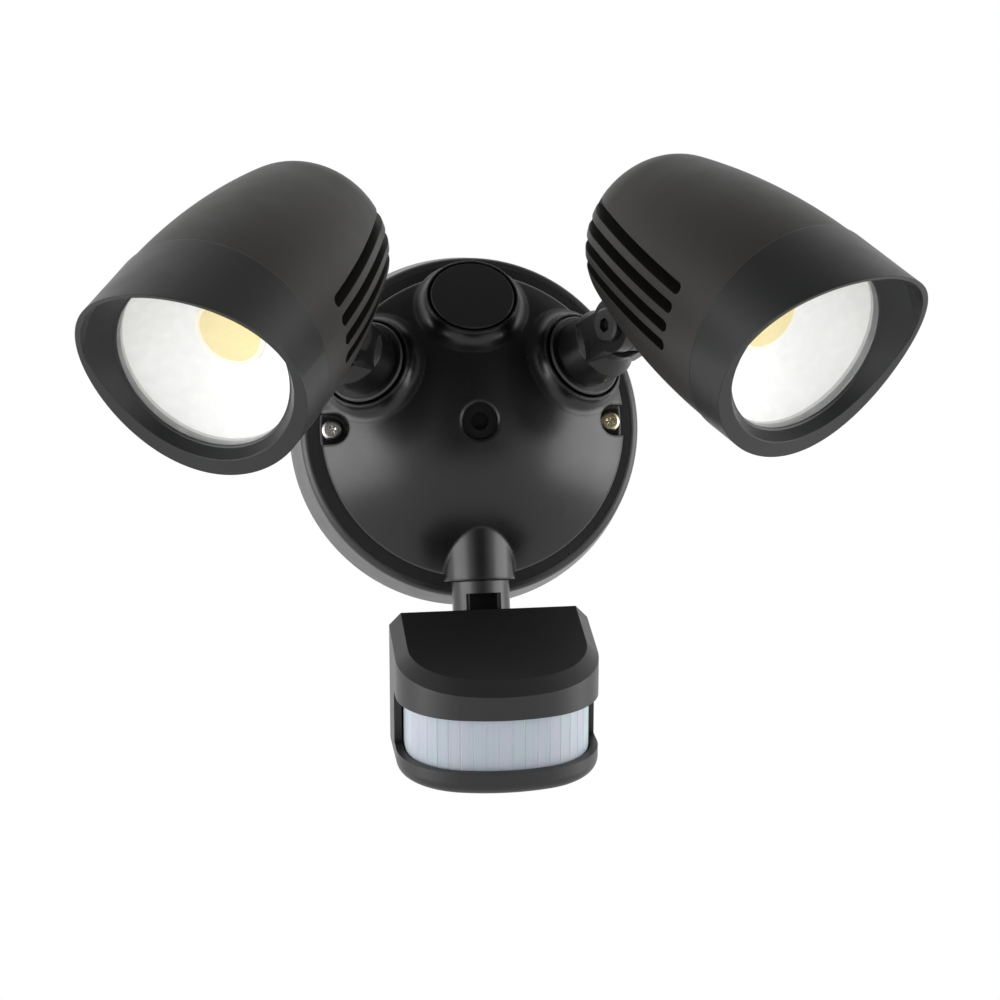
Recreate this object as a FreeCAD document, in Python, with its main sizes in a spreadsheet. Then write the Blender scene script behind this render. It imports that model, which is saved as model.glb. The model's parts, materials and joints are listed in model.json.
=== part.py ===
"""Motion sensor security light: a round wall canopy, two swivelling lamps and a swivelling sensor.

The row frame has +X to the right, +Y into the wall and +Z up, in millimetres. Its origin is the centre
of the canopy's back face. Each piece is drawn in the frame of what carries it:

wall frame    x right, y up, z straight out of the wall, from the origin
boss frame    z along a boss's axis, from the centre of its face, x level
stem frame    the boss frame turned to where the lamp points, x along the tilting axis
lamp frame    z forwards along the lamp, y up its visor side, from the centre of the glass
pan frame     z down the sensor's turning axis, y forwards, from the end face of the arch
sensor frame  x right, y backwards, z up, from the middle of the sensor's lens axis
"""

import FreeCAD, Part
import math
import os
import re

import Sketcher

Vector = FreeCAD.Vector
Placement = FreeCAD.Placement
Rotation = FreeCAD.Rotation

SIZES = {
    # canopy base
    "base_margin": 9.5,
    "base_corner_margin": 6.8,
    "base_depth": 22.5,
    "base_edge_round": 2.6,
    "base_wall": 3.2,
    "back_thickness": 3.0,
    "shelf_width": 8.0,
    "shelf_thickness": 3.0,
    "rim_lip_width": 0.5,
    "rim_lip_height": 0.5,
    "wall_gasket_width": 4.6,
    "wall_gasket_thickness": 1.5,
    "wall_gasket_inset": 2.2,
    "wall_hole_spacing": 88.9,
    "wall_hole_radius": 2.7,
    "knockout_radius": 11.0,
    "cable_radius": 4.5,
    "grommet_flange": 2.2,
    "grommet_height": 7.3,
    # canopy cover
    "gasket_thickness": 0.8,
    "gasket_overlap": 1.7,
    "cover_radius": 53.0,
    "cover_rise": 8.5,
    "cover_curve": 77.1,
    "cover_wall": 3.0,
    "cover_edge_round": 1.5,
    "screw_inset": 4.0,
    "screw_notch_radius": 5.4,
    "screw_floor": 1.8,
    "screw_radius": 1.9,
    "screw_head_radius": 3.6,
    "screw_head_height": 2.4,
    "screw_length": 13.0,
    "screw_post_radius": 5.4,
    "screw_slot_width": 1.0,
    "screw_slot_depth": 1.2,
    "centre_hole_radius": 6.0,
    "centre_hole_bevel": 0.9,
    # bosses
    "boss_angle": 60.0,
    "boss_lean": 32.85,
    "boss_reach": 43.7,
    "boss_depth": 42.7,
    "boss_radius": 16.1,
    "boss_root_radius": 19.8,
    "boss_root_depth": 5.9,
    "boss_flare": 5.4,
    "boss_round": 0.4,
    "boss_length": 24.0,
    "boss_recess_radius": 15.3,
    "boss_recess_depth": 3.2,
    "thread_radius": 10.4,
    "thread_clearance": 0.08,
    "seal_thickness": 1.2,
    "ring_radius": 14.4,
    "swivel_gap": 0.1,
    # arch for the sensor's turning axis
    "arch_radius": 12.4,
    "arch_back": 2.2,
    "arch_depth": 33.0,
    "arch_overhang": 1.0,
    "arch_length": 20.0,
    "pan_pin_radius": 5.0,
    "pan_pin_length": 11.0,
    "running_clearance": 0.06,
    # stem and its tilting joint
    "left_swivel_rest": 5.3,
    "right_swivel_rest": -3.0,
    "tilt_rest": 50.3,
    "stem_collar_radius": 12.0,
    "stem_collar_end": 12.5,
    "stem_neck_end": 17.0,
    "stem_neck_radius": 8.6,
    "stem_bore_radius": 4.0,
    "shank_length": 17.0,
    "nut_rise": 1.2,
    "pivot_reach": 29.5,
    "ear_radius": 9.2,
    "ear_neck": 7.0,
    "ear_thickness": 4.7,
    "ear_gap": 0.35,
    "lug_radius": 8.8,
    "lug_half_width": 4.8,
    "washer_thickness": 0.8,
    "washer_gap": 0.15,
    "bolt_radius": 3.0,
    "bolt_head_radius": 5.8,
    "bolt_head_height": 2.8,
    "bolt_socket_radius": 2.5,
    "nut_height": 3.2,
    "nut_flats": 10.0,
    # lamp
    "pivot_back": 75.7,
    "pivot_drop": 33.0,
    "lamp_radius": 37.1,
    "seam_back": 10.2,
    "barrel_lead": 4.8,
    "barrel_curve": 246.0,
    "barrel_length": 62.0,
    "dome_radius": 23.0,
    "lamp_wall": 3.4,
    "rear_cavity_radius": 15.0,
    "rear_cavity_end": 82.0,
    "slot_width": 3.8,
    "slot_pitch": 6.6,
    "slot_top": 7.4,
    "slot_count": 4,
    "slot_inner": 18.0,
    "slot_start": 24.6,
    "fin_root": 20.4,
    "spigot_length": 6.0,
    "spigot_thickness": 1.2,
    "spigot_clearance": 0.1,
    "bezel_step": 0.4,
    "bezel_taper": 0.2,
    "bezel_lip": 1.4,
    "bezel_cone_taper": 0.3,
    "bezel_cone_depth": 9.0,
    "bezel_length": 24.0,
    "visor_cut_radius": 122.4,
    "visor_cut_forward": 4.0,
    "visor_cut_drop": 28.0,
    "window_margin": 8.0,
    "glass_overlap": 2.7,
    "glass_thickness": 2.9,
    "glass_seat": 0.3,
    "glass_gasket_wall": 1.4,
    "glass_gasket_lip": 1.3,
    "reflector_wall": 1.2,
    "reflector_curve": 30.0,
    "reflector_neck_radius": 12.0,
    "led_back": 20.0,
    "led_radius": 11.5,
    "led_height": 0.8,
    "led_base_radius": 15.0,
    "led_base_thickness": 0.8,
    "board_thickness": 1.6,
    "led_screw_reach": 24.0,
    "led_screw_radius": 1.5,
    "led_screw_head_radius": 2.7,
    "led_screw_length": 6.0,
    # sensor joint
    "fork_collar_radius": 10.0,
    "fork_collar_height": 4.3,
    "fork_gap": 0.3,
    "fork_reach": 20.0,
    "fork_depth": 8.0,
    "fork_inner": 4.9,
    "fork_outer": 9.8,
    "fork_web": 3.0,
    "fork_pin_radius": 2.0,
    "fork_head_radius": 3.5,
    "fork_head_height": 2.0,
    "clip_groove": 1.0,
    "clip_back": 7.0,
    "clip_thickness": 0.9,
    # sensor
    "sensor_tilt_rest": 18.0,
    "sensor_pivot_back": 33.0,
    "sensor_pivot_rise": 15.0,
    "tab_half_width": 4.5,
    "tab_radius": 6.0,
    "sensor_half_width": 33.8,
    "sensor_front": 32.6,
    "sensor_front_curve": 58.0,
    "sensor_corner": 25.0,
    "sensor_back": 16.0,
    "sensor_wall": 2.6,
    "sensor_front_top": 21.0,
    "sensor_back_top": 31.0,
    "sensor_bevel": 4.0,
    "sensor_ceiling": 13.5,
    "window_half_height": 9.0,
    "window_end": 0.4,
    "base_split": 9.2,
    "sensor_bottom": 17.4,
    "sensor_bottom_round": 4.5,
    "sensor_floor": 2.4,
    "lens_inset": 3.4,
    "lens_thickness": 1.2,
    "lens_half_height": 11.0,
    "lens_tail": 2.0,
    "sensor_board_front": 2.6,
    "sensor_board_half_width": 24.0,
    "sensor_board_top": 12.0,
    "pir_radius": 4.6,
    "pir_height": 4.4,
    "pir_window": 3.0,
    "photocell_radius": 2.5,
    "photocell_height": 2.2,
    "photocell_side": 13.0,
    "relay_width": 20.0,
    "relay_depth": 8.0,
    "relay_height": 15.0,
    "sensor_screw_side": 22.0,
    "sensor_screw_back": 8.6,
    "sensor_post_radius": 3.3,
    "sensor_screw_radius": 1.4,
    "sensor_screw_head_radius": 2.6,
    "sensor_screw_head_height": 1.6,
    "sensor_screw_length": 12.0,
    "knob_spacing": 15.0,
    "knob_forward": 6.0,
    "knob_radius": 4.4,
    "knob_well_radius": 5.2,
    "knob_well_depth": 1.6,
    "knob_proud": 1.2,
    "knob_gap": 0.2,
    "knob_shaft_radius": 2.0,
    "knob_shaft_length": 5.0,
    "knob_slot_width": 1.0,
    "knob_slot_depth": 0.9,
    # inside the canopy
    "driver_width": 62.0,
    "driver_height": 28.0,
    "driver_depth": 15.0,
    "driver_drop": 15.0,
    "driver_round": 2.0,
    "terminal_width": 34.0,
    "terminal_height": 14.0,
    "terminal_depth": 13.0,
    "terminal_rise": 17.0,
    "terminal_pitch": 10.0,
    "terminal_screw_radius": 2.2,
    "terminal_screw_sink": 1.0,
    "earth_side": 34.0,
    "earth_rise": 22.0,
    "earth_screw_radius": 2.0,
    "earth_head_radius": 4.0,
    "earth_head_height": 2.6,
    "earth_boss_radius": 5.0,
    "earth_boss_height": 6.0,
}

# sizes that follow from the ones above, each a formula in the sheet
WORKED_OUT = {
    "base_radius": "cover_radius + base_margin",
    "base_corner_radius": "cover_radius + base_corner_margin",
    "screw_reach": "cover_radius - screw_inset",
    "arch_end": "cover_radius + arch_overhang",
    "window_radius": "lamp_radius - window_margin",
    "glass_radius": "window_radius + glass_overlap",
    "glass_gasket_radius": "glass_radius + glass_gasket_wall",
    "bezel_front_radius": "lamp_radius - bezel_taper",
    "bezel_cone_radius": "bezel_front_radius - bezel_lip - bezel_cone_taper",
}

NODES = []
EPS = 0.001

doc = FreeCAD.newDocument("security_light")
sheet = doc.addObject("Spreadsheet::Sheet", "Sizes")
cells = [(alias, repr(number)) for alias, number in SIZES.items()]
cells += [(alias, "=" + formula) for alias, formula in WORKED_OUT.items()]
for row, (alias, content) in enumerate(cells, start=1):
    sheet.set("A%d" % row, alias)
    sheet.set("B%d" % row, content)
    sheet.setAlias("B%d" % row, alias)
    doc.recompute()
NAMED = dict(cells)


# ---- sizes, sketches and features ----

def linked(text):
    """The expression with each size named as a cell of the sheet."""
    return re.sub(r"[a-z_]+", lambda word: "Sizes." + word[0] if word[0] in NAMED else word[0], str(text))


def size(text):
    """The value of an expression of sizes."""
    return float(sheet.evalExpression(str(text)))


def bind(item, name, text):
    item.setExpression(name, linked(text))


def new_body(label, placement):
    body = doc.addObject("PartDesign::Body", label)
    body.Label = label
    body.Placement = placement
    NODES.append(body)
    return body


def origin_plane(body, role):
    return next(item for item in body.Origin.OriginFeatures if item.Role == role)


def new_sketch(body, role, offset=("0", "0", "0"), turn=None):
    """A sketch on one of the body's own planes, moved and turned within it."""
    sketch = body.newObject("Sketcher::SketchObject", "Sketch")
    sketch.AttachmentSupport = [(origin_plane(body, role), "")]
    sketch.MapMode = "FlatFace"
    if turn is not None:
        sketch.AttachmentOffset = Placement(Vector(), turn)
    for letter, text in zip("xyz", offset):
        bind(sketch, "AttachmentOffset.Base." + letter, text)
    return sketch


def pin_point(sketch, index, spot, x, y):
    """Ties a point of the sketch to its place, measured from the sketch's origin."""
    for kind, text in (("DistanceX", x), ("DistanceY", y)):
        number = sketch.addConstraint(Sketcher.Constraint(kind, -1, 1, index, spot, size(text)))
        bind(sketch, "Constraints[%d]" % number, text)


def arc_between(start, end, radius):
    """The shorter arc from start to end: its centre lies left of the way there, or right if radius < 0."""
    way = end - start
    left = Vector(-way.y, way.x, 0).normalize()
    rise = math.sqrt(max(0.0, radius ** 2 - (way.Length / 2) ** 2))
    centre = (start + end) / 2 + left * math.copysign(rise, radius)
    first, last = (start, end) if radius > 0 else (end, start)
    angles = [math.atan2(point.y - centre.y, point.x - centre.x) for point in (first, last)]
    if angles[1] < angles[0]:
        angles[1] += 2 * math.pi
    return Part.ArcOfCircle(Part.Circle(centre, Vector(0, 0, 1), abs(radius)), *angles)


def draw(sketch, outline):
    """A closed outline of (x, y) corners; a third value makes the side that ends there an arc."""
    corners = [Vector(size(corner[0]), size(corner[1]), 0) for corner in outline]
    sides = []
    for number, corner in enumerate(outline):
        start, end = corners[number - 1], corners[number]
        if len(corner) == 2:
            index = sketch.addGeometry(Part.LineSegment(start, end), False)
            sides.append((index, 1, 2))
            continue
        radius = size(corner[2])
        index = sketch.addGeometry(arc_between(start, end, radius), False)
        sides.append((index, 1, 2) if radius > 0 else (index, 2, 1))
        limit = sketch.addConstraint(Sketcher.Constraint("Radius", index, abs(radius)))
        bind(sketch, "Constraints[%d]" % limit, "abs(%s)" % corner[2])
    for number, (index, head, tail) in enumerate(sides):
        before = sides[number - 1]
        sketch.addConstraint(Sketcher.Constraint("Coincident", before[0], before[2], index, head))
        pin_point(sketch, index, tail, outline[number][0], outline[number][1])
    return sketch


def outline_sketch(body, role, outline, **where):
    return draw(new_sketch(body, role, **where), outline)


def circle_sketch(body, role, circles, **where):
    """Circles, each given as (x, y, radius)."""
    sketch = new_sketch(body, role, **where)
    for x, y, radius in circles:
        circle = Part.Circle(Vector(size(x), size(y), 0), Vector(0, 0, 1), size(radius))
        index = sketch.addGeometry(circle, False)
        pin_point(sketch, index, 3, x, y)
        number = sketch.addConstraint(Sketcher.Constraint("Radius", index, size(radius)))
        bind(sketch, "Constraints[%d]" % number, radius)
    return sketch


def rectangle(left, right, low, high):
    return [(left, low), (right, low), (right, high), (left, high)]


def add_feature(body, kind, sketch, **settings):
    """A sketched feature, checked to have changed the body the way its kind should."""
    volume = body.Shape.Volume if body.Tip is not None and not body.Shape.isNull() else 0.0
    feature = body.newObject("PartDesign::" + kind, kind)
    feature.Profile = sketch
    if kind in ("Revolution", "Groove"):
        feature.ReferenceAxis = (sketch, ["V_Axis"])
        feature.Angle = 360.0
    for name, value in settings.items():
        if isinstance(value, str) and name in ("Length", "Angle"):
            bind(feature, name, value)
        else:
            setattr(feature, name, value)
    doc.recompute()
    change = feature.Shape.Volume - volume
    wanted = 1 if kind in ("Revolution", "Pad") else -1
    if change * wanted <= EPS:
        raise RuntimeError("%s of %s changed the volume by %.3f" % (kind, body.Label, change))
    return feature


def revolve(body, outline, **where):
    return add_feature(body, "Revolution", outline_sketch(body, "XZ_Plane", outline, **where))


def groove(body, outline, **where):
    return add_feature(body, "Groove", outline_sketch(body, "XZ_Plane", outline, **where))


def pad_up(body, sketch, length):
    """Adds material along the sketch's own normal."""
    return add_feature(body, "Pad", sketch, Length=length)


def pad_across(body, sketch, length):
    """Adds material to both sides of the sketch alike."""
    return add_feature(body, "Pad", sketch, Length=length, Midplane=True)


def cut_up(body, sketch, length):
    """Cuts along the sketch's own normal."""
    return add_feature(body, "Pocket", sketch, Length=length, Reversed=True)


def cut_down(body, sketch, length):
    """Cuts against the sketch's own normal."""
    return add_feature(body, "Pocket", sketch, Length=length)


def cut_across(body, sketch, length):
    return add_feature(body, "Pocket", sketch, Length=length, Midplane=True)


def repeat(body, kind, originals, **settings):
    """A pattern or mirror image of features of the body."""
    feature = body.newObject("PartDesign::" + kind, kind)
    feature.Originals = originals
    for name, value in settings.items():
        if isinstance(value, str):
            bind(feature, name, value)
        else:
            setattr(feature, name, value)
    body.Tip = feature
    doc.recompute()
    return feature


def mirror(body, originals, role="YZ_Plane"):
    return repeat(body, "Mirrored", originals, MirrorPlane=(origin_plane(body, role), [""]))


def soften(body, kind, amount, chosen):
    """A fillet or chamfer of the edges for which chosen(edge) holds."""
    base = body.Tip
    names = ["Edge%d" % number for number, edge in enumerate(base.Shape.Edges, start=1) if chosen(edge)]
    if not names:
        raise RuntimeError("no edge to soften on " + body.Label)
    feature = body.newObject("PartDesign::" + kind, kind)
    feature.Base = (base, names)
    bind(feature, "Radius" if kind == "Fillet" else "Size", amount)
    doc.recompute()
    return feature


def turned(label, placement, outline):
    """A piece turned about its own z axis from an outline of (radius, height) corners."""
    body = new_body(label, placement)
    revolve(body, outline)
    return body


def disc(radius, low, high):
    return [("0", low), (radius, low), (radius, high), ("0", high)]


def ring(inner, outer, low, high):
    return [(inner, low), (outer, low), (outer, high), (inner, high)]


# ---- frames ----

def wall_frame():
    return Placement(Vector(), Rotation(Vector(1, 0, 0), 90))


def boss_frame(angle):
    """The frame of the boss at this angle round the wall frame, from its x axis."""
    radial = Vector(math.cos(math.radians(angle)), math.sin(math.radians(angle)), 0)
    lean = math.radians(size("boss_lean"))
    axis = radial * math.sin(lean) + Vector(0, 0, math.cos(lean))
    level = Vector(0, 1, 0).cross(axis)
    if level.Length < EPS:
        level = Vector(1, 0, 0)
    level.normalize()
    face = radial * size("boss_reach") + Vector(0, 0, size("boss_depth"))
    return Placement(face, Rotation(level, axis.cross(level), axis, "ZXY"))


LAMPS = {
    "left": (90.0 + size("boss_angle"), "left_swivel_rest"),
    "right": (90.0 - size("boss_angle"), "right_swivel_rest"),
}


def stem_frame(side):
    angle, swivel = LAMPS[side]
    turn = Placement(Vector(), Rotation(Vector(0, 0, 1), -size(swivel)))
    return wall_frame() * boss_frame(angle) * turn


def lamp_frame(side):
    pivot = Placement(Vector(0, 0, size("pivot_reach")), Rotation(Vector(1, 0, 0), size("tilt_rest")))
    glass = Placement(Vector(0, size("pivot_drop"), size("pivot_back")), Rotation())
    return stem_frame(side) * pivot * glass


def pan_frame():
    return Placement(Vector(0, -size("arch_depth"), -size("arch_end")), Rotation(Vector(1, 0, 0), 180))


def sensor_frame():
    pivot = Placement(Vector(0, 0, size("fork_reach")), Rotation())
    upright = Placement(Vector(), Rotation(Vector(1, 0, 0), 180 + size("sensor_tilt_rest")))
    middle = Placement(Vector(0, -size("sensor_pivot_back"), -size("sensor_pivot_rise")), Rotation())
    return pan_frame() * pivot * upright * middle


def knob_frame(place):
    """The frame of a setting knob: place is -1, 0 or 1 from left to right."""
    middle = Vector(place * size("knob_spacing"), -size("knob_forward"), -size("sensor_bottom"))
    return sensor_frame() * Placement(middle, Rotation(Vector(1, 0, 0), 180))


# ---- heights that several pieces share ----

SHELF = "(base_depth - rim_lip_height)"
COVER_FOOT = "(base_depth - rim_lip_height + gasket_thickness)"
COVER_FACE = "(base_depth + cover_rise)"
DOME_MIDDLE = "(base_depth + cover_rise - sqrt(cover_curve ^ 2 - cover_radius ^ 2))"
COVER_TOP = "(" + DOME_MIDDLE + " + cover_curve)"
COVER_EAVES = ("(" + DOME_MIDDLE
               + " + sqrt((cover_curve - cover_wall) ^ 2 - (cover_radius - cover_wall) ^ 2))")
PLUG_SEAT = ("(" + DOME_MIDDLE
             + " + sqrt((cover_curve - cover_wall) ^ 2 - (centre_hole_radius + cover_wall / 2) ^ 2))")
RIM_RADIUS = "(base_corner_radius - base_edge_round)"
SHELF_INNER = "(base_corner_radius - base_edge_round - rim_lip_width - shelf_width)"
RECESS_FLOOR = "(0 - boss_recess_depth)"
SEAL_TOP = "(seal_thickness - boss_recess_depth)"
RING_FOOT = "(seal_thickness - boss_recess_depth + swivel_gap)"
EAR_INNER = "(lug_half_width + washer_thickness + 2 * washer_gap)"
EAR_OUTER = "(lug_half_width + washer_thickness + 2 * washer_gap + ear_thickness)"
BARREL_BEND = "sqrt(barrel_curve ^ 2 - barrel_length ^ 2)"
BARREL_END = "(0 - seam_back - barrel_lead - barrel_length)"
SHOULDER_RADIUS = "(lamp_radius - barrel_curve + " + BARREL_BEND + ")"
DOME_CENTRE_RADIUS = "(" + SHOULDER_RADIUS + " - dome_radius * " + BARREL_BEND + " / barrel_curve)"
DOME_END = "(" + BARREL_END + " + dome_radius * barrel_length / barrel_curve - dome_radius)"
BOARD_FRONT = "(0 - led_back - led_base_thickness)"
LAMP_FLOOR = "(0 - led_back - led_base_thickness - board_thickness)"
LAMP_BORE = "(lamp_radius - lamp_wall)"
GLASS_BACK = "(0 - glass_seat - glass_thickness)"
REFLECTOR_TOP = "(0 - glass_seat - glass_thickness - glass_gasket_lip)"
FINS_FRONT = "(0 - slot_start - slot_width / 2)"
FINS_FRONT_RADIUS = ("(lamp_radius - barrel_curve + sqrt(barrel_curve ^ 2"
                     " - (slot_start + slot_width / 2 - seam_back - barrel_lead) ^ 2))")
FINS_TOP = "(slot_top + slot_width / 2)"
FINS_FOOT = "(slot_top - (slot_count - 1) * slot_pitch - slot_width / 2)"
FRONT_MIDDLE = "(sensor_front_curve - sensor_front)"
CORNER_ACROSS = "(sensor_half_width - sensor_corner)"
CORNER_REACH = "(sensor_front_curve - sensor_corner)"
CORNER_RISE = "sqrt(" + CORNER_REACH + " ^ 2 - " + CORNER_ACROSS + " ^ 2)"
CAVITY_BACK = "(sensor_back - sensor_wall)"
FLOOR_TOP = "(sensor_floor - sensor_bottom)"


# ---- canopy ----

def base_housing():
    """The round back box: a drafted wall, a shelf for the cover and a back plate for the wall."""
    body = turned("base_housing", wall_frame(), [
        ("0", "0"),
        ("base_radius", "0"),
        ("base_corner_radius", "base_depth - base_edge_round"),
        (RIM_RADIUS, "base_depth", "base_edge_round * 1.02"),
        (RIM_RADIUS + " - rim_lip_width", "base_depth"),
        (RIM_RADIUS + " - rim_lip_width", SHELF),
        (SHELF_INNER, SHELF),
        (SHELF_INNER, SHELF + " - shelf_thickness"),
        ("base_corner_radius - base_wall", SHELF + " - shelf_thickness"),
        ("base_radius - base_wall", "back_thickness"),
        ("0", "back_thickness"),
    ])
    post = circle_sketch(body, "XY_Plane", [
        ("screw_reach", "0", "screw_post_radius"),
        ("0 - screw_reach", "0", "screw_post_radius"),
    ], offset=("0", "0", "back_thickness / 2"))
    pad_up(body, post, SHELF + " - back_thickness / 2")
    earth = circle_sketch(body, "XY_Plane", [("earth_side", "earth_rise", "earth_boss_radius")],
                          offset=("0", "0", "back_thickness / 2"))
    pad_up(body, earth, "back_thickness / 2 + earth_boss_height")
    threads = circle_sketch(body, "XY_Plane", [
        ("screw_reach", "0", "screw_radius + running_clearance"),
        ("0 - screw_reach", "0", "screw_radius + running_clearance"),
    ], offset=("0", "0", SHELF))
    cut_down(body, threads, "screw_length")
    earth_hole = circle_sketch(body, "XY_Plane",
                               [("earth_side", "earth_rise", "earth_screw_radius + running_clearance")],
                               offset=("0", "0", "back_thickness + earth_boss_height"))
    cut_down(body, earth_hole, "earth_boss_height")
    openings = circle_sketch(body, "XY_Plane", [
        ("0", "0", "knockout_radius"),
        ("0", "wall_hole_spacing / 2", "wall_hole_radius"),
        ("0", "0 - wall_hole_spacing / 2", "wall_hole_radius"),
    ])
    cut_up(body, openings, "back_thickness * 1.5")
    groove(body, ring("base_radius - wall_gasket_inset - wall_gasket_width", "base_radius - wall_gasket_inset",
                      "0", "wall_gasket_thickness"))


def wall_gasket():
    turned("wall_gasket", wall_frame(),
           ring("base_radius - wall_gasket_inset - wall_gasket_width", "base_radius - wall_gasket_inset",
                "0", "wall_gasket_thickness"))


def cover_gasket():
    """The dark seal that the cover stands on and that shows as a band round it."""
    turned("cover_gasket", wall_frame(),
           ring("cover_radius - gasket_overlap", RIM_RADIUS + " - rim_lip_width", SHELF, COVER_FOOT))


def front_cover():
    """The domed cover with its three leaning bosses, screw notches and the sensor's arch."""
    body = turned("front_cover", wall_frame(), [
        ("0", COVER_TOP + " - cover_wall"),
        ("cover_radius - cover_wall", COVER_EAVES, "cover_wall - cover_curve"),
        ("cover_radius - cover_wall", COVER_FOOT),
        ("cover_radius", COVER_FOOT),
        ("cover_radius", COVER_FACE),
        ("0", COVER_TOP, "cover_curve"),
    ])
    pockets = circle_sketch(body, "XY_Plane", [
        ("screw_reach - screw_notch_radius / 4", "0", "screw_notch_radius + cover_wall * 0.7"),
        ("screw_notch_radius / 4 - screw_reach", "0", "screw_notch_radius + cover_wall * 0.7"),
    ], offset=("0", "0", COVER_FOOT))
    pad_up(body, pockets, "2 * cover_rise")
    groove(body, [
        ("cover_radius", COVER_FOOT + " - cover_wall"),
        ("base_radius", COVER_FOOT + " - cover_wall"),
        ("base_radius", COVER_TOP + " + cover_wall"),
        ("0", COVER_TOP + " + cover_wall"),
        ("0", COVER_TOP),
        ("cover_radius", COVER_FACE, "0 - cover_curve"),
    ])
    soften(body, "Fillet", "cover_edge_round", cover_edge)
    boss = [
        ("0", "0 - boss_length"),
        ("boss_root_radius", "0 - boss_length"),
        ("boss_root_radius", "0 - boss_root_depth"),
        ("boss_radius", "0 - boss_round", "0 - boss_flare"),
        ("boss_radius - boss_round", "0"),
        ("0", "0"),
    ]
    for angle in (90.0, LAMPS["left"][0], LAMPS["right"][0]):
        place = boss_frame(angle)
        add_on_boss(body, "Revolution", boss, place)
    hump = [
        ("0", "0 - arch_end"),
        ("arch_radius", "0 - arch_end"),
        ("arch_radius", "arch_length - arch_end"),
        ("0", "arch_length - arch_end"),
    ]
    add_feature(body, "Revolution",
                outline_sketch(body, "XY_Plane", hump, offset=("0", "0", "arch_depth - arch_back")))
    outside = new_sketch(body, "XY_Plane", offset=("0", "0", COVER_FOOT))
    reach = "base_radius + boss_radius"
    draw(outside, rectangle("0 - (%s)" % reach, reach, "0 - (%s)" % reach, reach))
    cut_down(body, outside, "boss_length")
    for side in (1, -1):
        notch_cut(body, side)
    bore = [
        ("0", "boss_flare"),
        ("0", "0 - boss_length - boss_root_radius"),
        ("thread_radius + thread_clearance", "0 - boss_length - boss_root_radius"),
        ("thread_radius + thread_clearance", RECESS_FLOOR),
        ("boss_recess_radius", RECESS_FLOOR),
        ("boss_recess_radius", "boss_flare"),
    ]
    for angle in (90.0, LAMPS["left"][0], LAMPS["right"][0]):
        add_on_boss(body, "Groove", bore, boss_frame(angle))
    pin_hole = [
        ("0", "0 - arch_end - 1"),
        ("pan_pin_radius + running_clearance", "0 - arch_end - 1"),
        ("pan_pin_radius + running_clearance", "clip_back - clip_groove / 2 - arch_end"),
        ("pan_pin_radius + clip_groove + 0.3", "clip_back - clip_groove / 2 - arch_end"),
        ("pan_pin_radius + clip_groove + 0.3", "clip_back + clip_groove / 2 - arch_end"),
        ("pan_pin_radius + running_clearance", "clip_back + clip_groove / 2 - arch_end"),
        ("pan_pin_radius + running_clearance", "pan_pin_length + 1 - arch_end"),
        ("0", "pan_pin_length + 1 - arch_end"),
    ]
    add_feature(body, "Groove", outline_sketch(body, "XY_Plane", pin_hole, offset=("0", "0", "arch_depth")))
    centre = circle_sketch(body, "XY_Plane", [("0", "0", "centre_hole_radius")],
                           offset=("0", "0", COVER_TOP))
    cut_down(body, centre, "cover_wall * 2")
    soften(body, "Chamfer", "centre_hole_bevel", centre_edge)


def add_on_boss(body, kind, outline, place):
    """Turns an outline about the axis of the boss at this place, which the sketch's y axis follows."""
    side = place.Rotation.multVec(Vector(1, 0, 0))
    axis = place.Rotation.multVec(Vector(0, 0, 1))
    sketch = new_sketch(body, "XY_Plane")
    sketch.setExpression("AttachmentOffset.Base.x", None)
    sketch.setExpression("AttachmentOffset.Base.y", None)
    sketch.setExpression("AttachmentOffset.Base.z", None)
    sketch.AttachmentOffset = Placement(place.Base, Rotation(side, axis, side.cross(axis), "YXZ"))
    add_feature(body, kind, draw(sketch, outline))


def notch_cut(body, side):
    """A round-ended notch for a cover screw, open outwards, with the screw's hole in its floor."""
    floor = COVER_FOOT + " + screw_floor"
    sketch = new_sketch(body, "XY_Plane", offset=("0", "0", floor))
    inner = "%d * (screw_reach)" % side
    outer = "%d * (cover_radius + screw_notch_radius)" % side
    bend = "%d * screw_notch_radius" % side
    draw(sketch, [
        (inner, "0 - screw_notch_radius", bend),
        (outer, "0 - screw_notch_radius"),
        (outer, "screw_notch_radius"),
        (inner, "screw_notch_radius"),
        ("%d * (screw_reach - screw_notch_radius)" % side, "0", bend),
    ])
    cut_up(body, sketch, COVER_TOP + " - " + COVER_FOOT)
    hole = circle_sketch(body, "XY_Plane", [("%d * screw_reach" % side, "0", "screw_radius + running_clearance")],
                         offset=("0", "0", floor))
    cut_down(body, hole, "screw_floor")


def cover_edge(edge):
    """The rim where the dome meets the side wall."""
    box = edge.BoundBox
    return box.ZLength < EPS and abs(box.ZMin - size(COVER_FACE)) < EPS


def centre_edge(edge):
    """The rim of the centre hole in the cover's face."""
    box = edge.BoundBox
    middle = Vector((box.XMin + box.XMax) / 2, (box.YMin + box.YMax) / 2, 0)
    return (abs(box.XLength - 2 * size("centre_hole_radius")) < 0.01
            and middle.Length < EPS
            and box.ZMin > size(COVER_TOP + " - cover_wall / 2"))


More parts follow.
